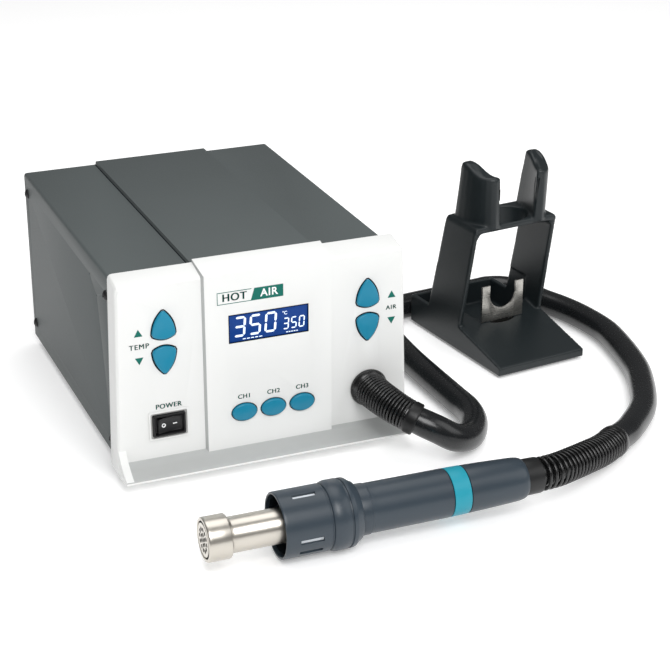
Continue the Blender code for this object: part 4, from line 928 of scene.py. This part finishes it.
def buildStand():
    sizes = {"half": 0.0350, "depth": 0.1140, "low": 0.0015, "block": 0.0220, "crease": 0.0620,
             "deck": 0.0962, "top": 0.1368, "dip": 0.0066, "socket": (0.0, 0.0531, 0.0178, 0.0158),
             "well": (0.0, 0.0665, 0.0200, 0.0200), "voxel": 0.0007}
    half, low, block, depth = sizes["half"], sizes["low"], sizes["block"], sizes["depth"]
    side = [(0.0, low), (depth, low), (depth, block), (sizes["crease"], block), (0.0010, 0.0080),
            (0.0, 0.0072)]
    solids = [loft([[(-half, y, z) for y, z in side], [(half, y, z) for y, z in side]])]
    for sign in (-1.0, 1.0):
        solids.append(loft([roundedSection(0.0530, 0.0940, 0.0350, 0.0312, 0.0100, sign=sign),
                            roundedSection(0.0500, 0.0905, 0.0350, 0.0314, 0.0240, sign=sign),
                            roundedSection(0.0365, 0.0735, 0.0336, 0.0303, 0.0925, sign=sign),
                            roundedSection(0.0372, 0.0728, 0.0322, 0.0300, 0.0950, sign=sign)]))
        gusset = [(0.0306, 0.0930), (0.0262, 0.0930), (0.0306, 0.0868)]
        solids.append(loft([[(sign * x, y, z) for x, z in gusset] for y in (0.0375, 0.0470)]))
        solids.append(buildEar(sign, sizes))
    solids.append(buildDeck(sizes))
    total = joined(*solids)
    bmesh.ops.recalc_face_normals(total, faces=total.faces)
    fuse = ("REMESH", {"mode": "VOXEL", "voxel_size": sizes["voxel"]})
    fused = modified(total, "standFuse", fuse)
    trough = boxShape((-half + 0.0033, 0.0660, 0.0050), (half - 0.0033, depth - 0.0030, 0.0400))
    for cutter in (trough, ovalColumn(sizes["well"], 0.0050, 0.0400),
                   ovalColumn(sizes["socket"], 0.0700, sizes["deck"] + 0.0012)):
        fused = cutAway(fused, "standCut", cutter)
    fused = modified(fused, "standSmooth", fuse, ("SMOOTH", {"factor": 0.5, "iterations": 7}))
    grooves = []
    for sign in (-1.0, 1.0):  # a thin groove down the inner edge of each ear's front
        outline = [(sign * x, y) for x, y in ((0.0157, 0.0300), (0.0168, 0.0300), (0.0168, 0.0390),
                                              (0.0157, 0.0390))]
        foot = [(x - sign * 0.0022, y + 0.0030) for x, y in outline]
        grooves.append(loft([[(x, y, 0.1000) for x, y in foot], [(x, y, 0.1245) for x, y in outline]]))
    fused = cutAway(fused, "standGroove", joined(*grooves))
    piece("standMoulding", fused, "standSlate", "handset_stand", ("stand_body",), standPlace,
          60.0, True)


def ovalColumn(shape, low, high):
    # an upright column over an oval of (x, y, half width, half depth)
    return loft([[(x, y, z) for x, y in oval(*shape, 56)] for z in (low, high)])


def buildDeck(sizes):
    # thin at its front edge, deep at its back, with round shoulders over the legs
    top = sizes["deck"]
    profile = [(0.0360, 0.0918), (0.0360, top - 0.0016), (0.0366, top - 0.0005), (0.0378, top),
               (0.0706, top), (0.0722, top - 0.0010), (0.0730, top - 0.0026), (0.0734, 0.0820),
               (0.0600, 0.0835), (0.0450, 0.0885), (0.0385, 0.0912)]
    rings = []
    for x, drop in ((0.0336, 0.0040), (0.0332, 0.0024), (0.0322, 0.0010), (0.0308, 0.0003), (0.0290, 0.0)):
        rings.append([(-x, y, min(z, top - drop)) for y, z in profile])
    rings += [[(-x, y, z) for x, y, z in ring] for ring in reversed(rings)]
    return loft(rings)


def buildEar(sign, sizes):
    # a thick wall, curved in plan; its top is high at the back and drops in an S to the front
    outer = [(0.0186, 0.0334), (0.0216, 0.0347), (0.0246, 0.0372), (0.0266, 0.0398), (0.0281, 0.0428),
             (0.0293, 0.0463), (0.0301, 0.0508), (0.0304, 0.0560), (0.0300, 0.0600)]
    inner = [(0.0222, 0.0608), (0.0214, 0.0565), (0.0206, 0.0525), (0.0197, 0.0490), (0.0187, 0.0457),
             (0.0176, 0.0425), (0.0163, 0.0390), (0.0149, 0.0354)]
    base = sizes["deck"] - 0.0030
    # height share, lean to the back, growth of the walls, rounding at the top
    levels = ((0.0, 0.0078, 0.0004, 0.0), (0.16, 0.0068, 0.0004, 0.0), (0.50, 0.0038, 0.0006, 0.0),
              (0.94, 0.0, 0.0008, 0.0), (0.975, 0.0, 0.0008, 0.0004), (0.993, 0.0, 0.0008, 0.0012),
              (1.0, 0.0, 0.0008, 0.0022))

    def height(y):
        share = min(max((y - 0.0385) / 0.0185, 0.0), 1.0)
        return sizes["top"] - sizes["dip"] * (1.0 - share * share * (3.0 - 2.0 * share))
    rings = []
    for level, shift, widen, shrink in levels:
        ring = []
        for x, y in outer + inner:
            share = (y - 0.0335) / 0.0275
            away = 1.0 if (x, y) in outer else -1.0
            spread = x + (widen if away > 0 else 0.0012 * (1.0 - level)) * away - away * shrink
            lean = y + shift * share + shrink * (0.5 - share) * 1.4
            ring.append((sign * spread, lean, base + (height(y) - base) * level))
        rings.append(ring if sign > 0 else list(reversed(ring)))
    return loft(rings)


def buildBracket():
    plate = softCopy("rest_bracket", 0.00025, 2)
    piece("restPlate", plate, "plateSteel", "handset_stand", ("rest_bracket",), sharp=30.0,
          keepWinding=True)


# the pieces that keep their CAD shape get their finish here
def dressFrame():
    looks = {"chassis_tray": "zincSheet", "rear_panel": "coverPaint", "mains_inlet": "switchBlack",
             "fuse_holder": "switchBlack", "earth_terminal": "plateSteel", "lcd_module": "lcdBlue",
             "key_board": "boardGreen", "main_board": "boardGreen", "heat_sink": "zincSheet",
             "transformer": "zincSheet", "blower_housing": "cuffPlastic", "blower_impeller": "panelWhite",
             "blower_motor": "zincSheet", "air_duct": "cuffPlastic", "heater_core": "sootSteel",
             "sensor_board": "boardGreen", "bracket_screw": "plateSteel"}
    for prefix in ("foot_", "stand_foot_"):
        for place in ("front_left", "front_right", "back_left", "back_right"):
            looks[prefix + place] = "footRubber"
    for node, finish in looks.items():
        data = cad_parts[node].data
        data.materials.clear()
        data.materials.append(finishes[finish])


def buildStage():
    stage = {"floorShade": 0.93, "floorGlow": 0.22, "roomForMatt": 0.50, "roomForGloss": 0.14,
             "aim": (0.0, -0.02, 0.05)}
    sheet = [(-4, -4, -0.0002), (4, -4, -0.0002), (4, 4, -0.0002), (-4, 4, -0.0002)]
    floor = seedObject("floor", sheet, (), [(0, 1, 2, 3)])
    paper = bpy.data.materials.new("paleFloor")
    paper.use_nodes = True
    inputs = paper.node_tree.nodes["Principled BSDF"].inputs
    inputs["Base Color"].default_value = (stage["floorShade"],) * 3 + (1.0,)
    inputs["Roughness"].default_value = 0.85
    inputs["Emission Color"].default_value = (1.0, 1.0, 1.0, 1.0)
    inputs["Emission Strength"].default_value = stage["floorGlow"]
    floor.data.materials.append(paper)
    world = bpy.data.worlds.new("studio")
    world.use_nodes = True
    nodes, links = world.node_tree.nodes, world.node_tree.links
    nodes["Background"].inputs["Color"].default_value = (1.0, 1.0, 1.0, 1.0)
    rays = nodes.new("ShaderNodeLightPath")
    level = nodes.new("ShaderNodeMapRange")  # reflections see a darker room than matt faces do
    level.inputs["To Min"].default_value = stage["roomForMatt"]
    level.inputs["To Max"].default_value = stage["roomForGloss"]
    links.new(rays.outputs["Is Glossy Ray"], level.inputs["Value"])
    links.new(level.outputs["Result"], nodes["Background"].inputs["Strength"])
    bpy.context.scene.world = world
    bpy.context.scene.view_settings.view_transform = "Standard"
    lamps = (("keyLamp", (-0.20, -1.20, 1.10), 0.8, 15.5), ("fillLamp", (0.95, -0.75, 0.85), 1.0, 5.2),
             ("topLamp", (0.05, 0.30, 1.50), 1.2, 10.0))
    for name, position, size, power in lamps:
        light = bpy.data.lights.new(name, "AREA")
        light.shape = "SQUARE"
        light.size = size
        light.energy = power
        lamp = bpy.data.objects.new(name, light)
        lamp.location = position
        aim = Vector(stage["aim"]) - Vector(position)
        lamp.rotation_euler = aim.to_track_quat("-Z", "Y").to_euler()
        bpy.context.scene.collection.objects.link(lamp)
    view = bpy.data.cameras.new("camera")
    view.lens = 97.35
    view.sensor_width = 36.0
    camera = bpy.data.objects.new("camera", view)
    camera.location = bench + Vector((-0.3391, -0.9353, 0.5171))
    camera.rotation_euler = (math.radians(90.0 - 23.53), 0.0, math.radians(-22.36))
    bpy.context.scene.collection.objects.link(camera)
    bpy.context.scene.camera = camera


rings = ringTree()
buildHose()
buildBoot(rings)
buildRelief(rings)
print("hose done, free length", round(hoseEnd - hoseStart, 3))
buildHandset(sieveTree())
print("handset done")
buildHousing(screwTree())
buildKeys()
buildPrint()
buildDisplay()
buildSwitch()
print("bench unit done")
buildStand()
buildBracket()
print("stand done")
dressFrame()
buildStage()
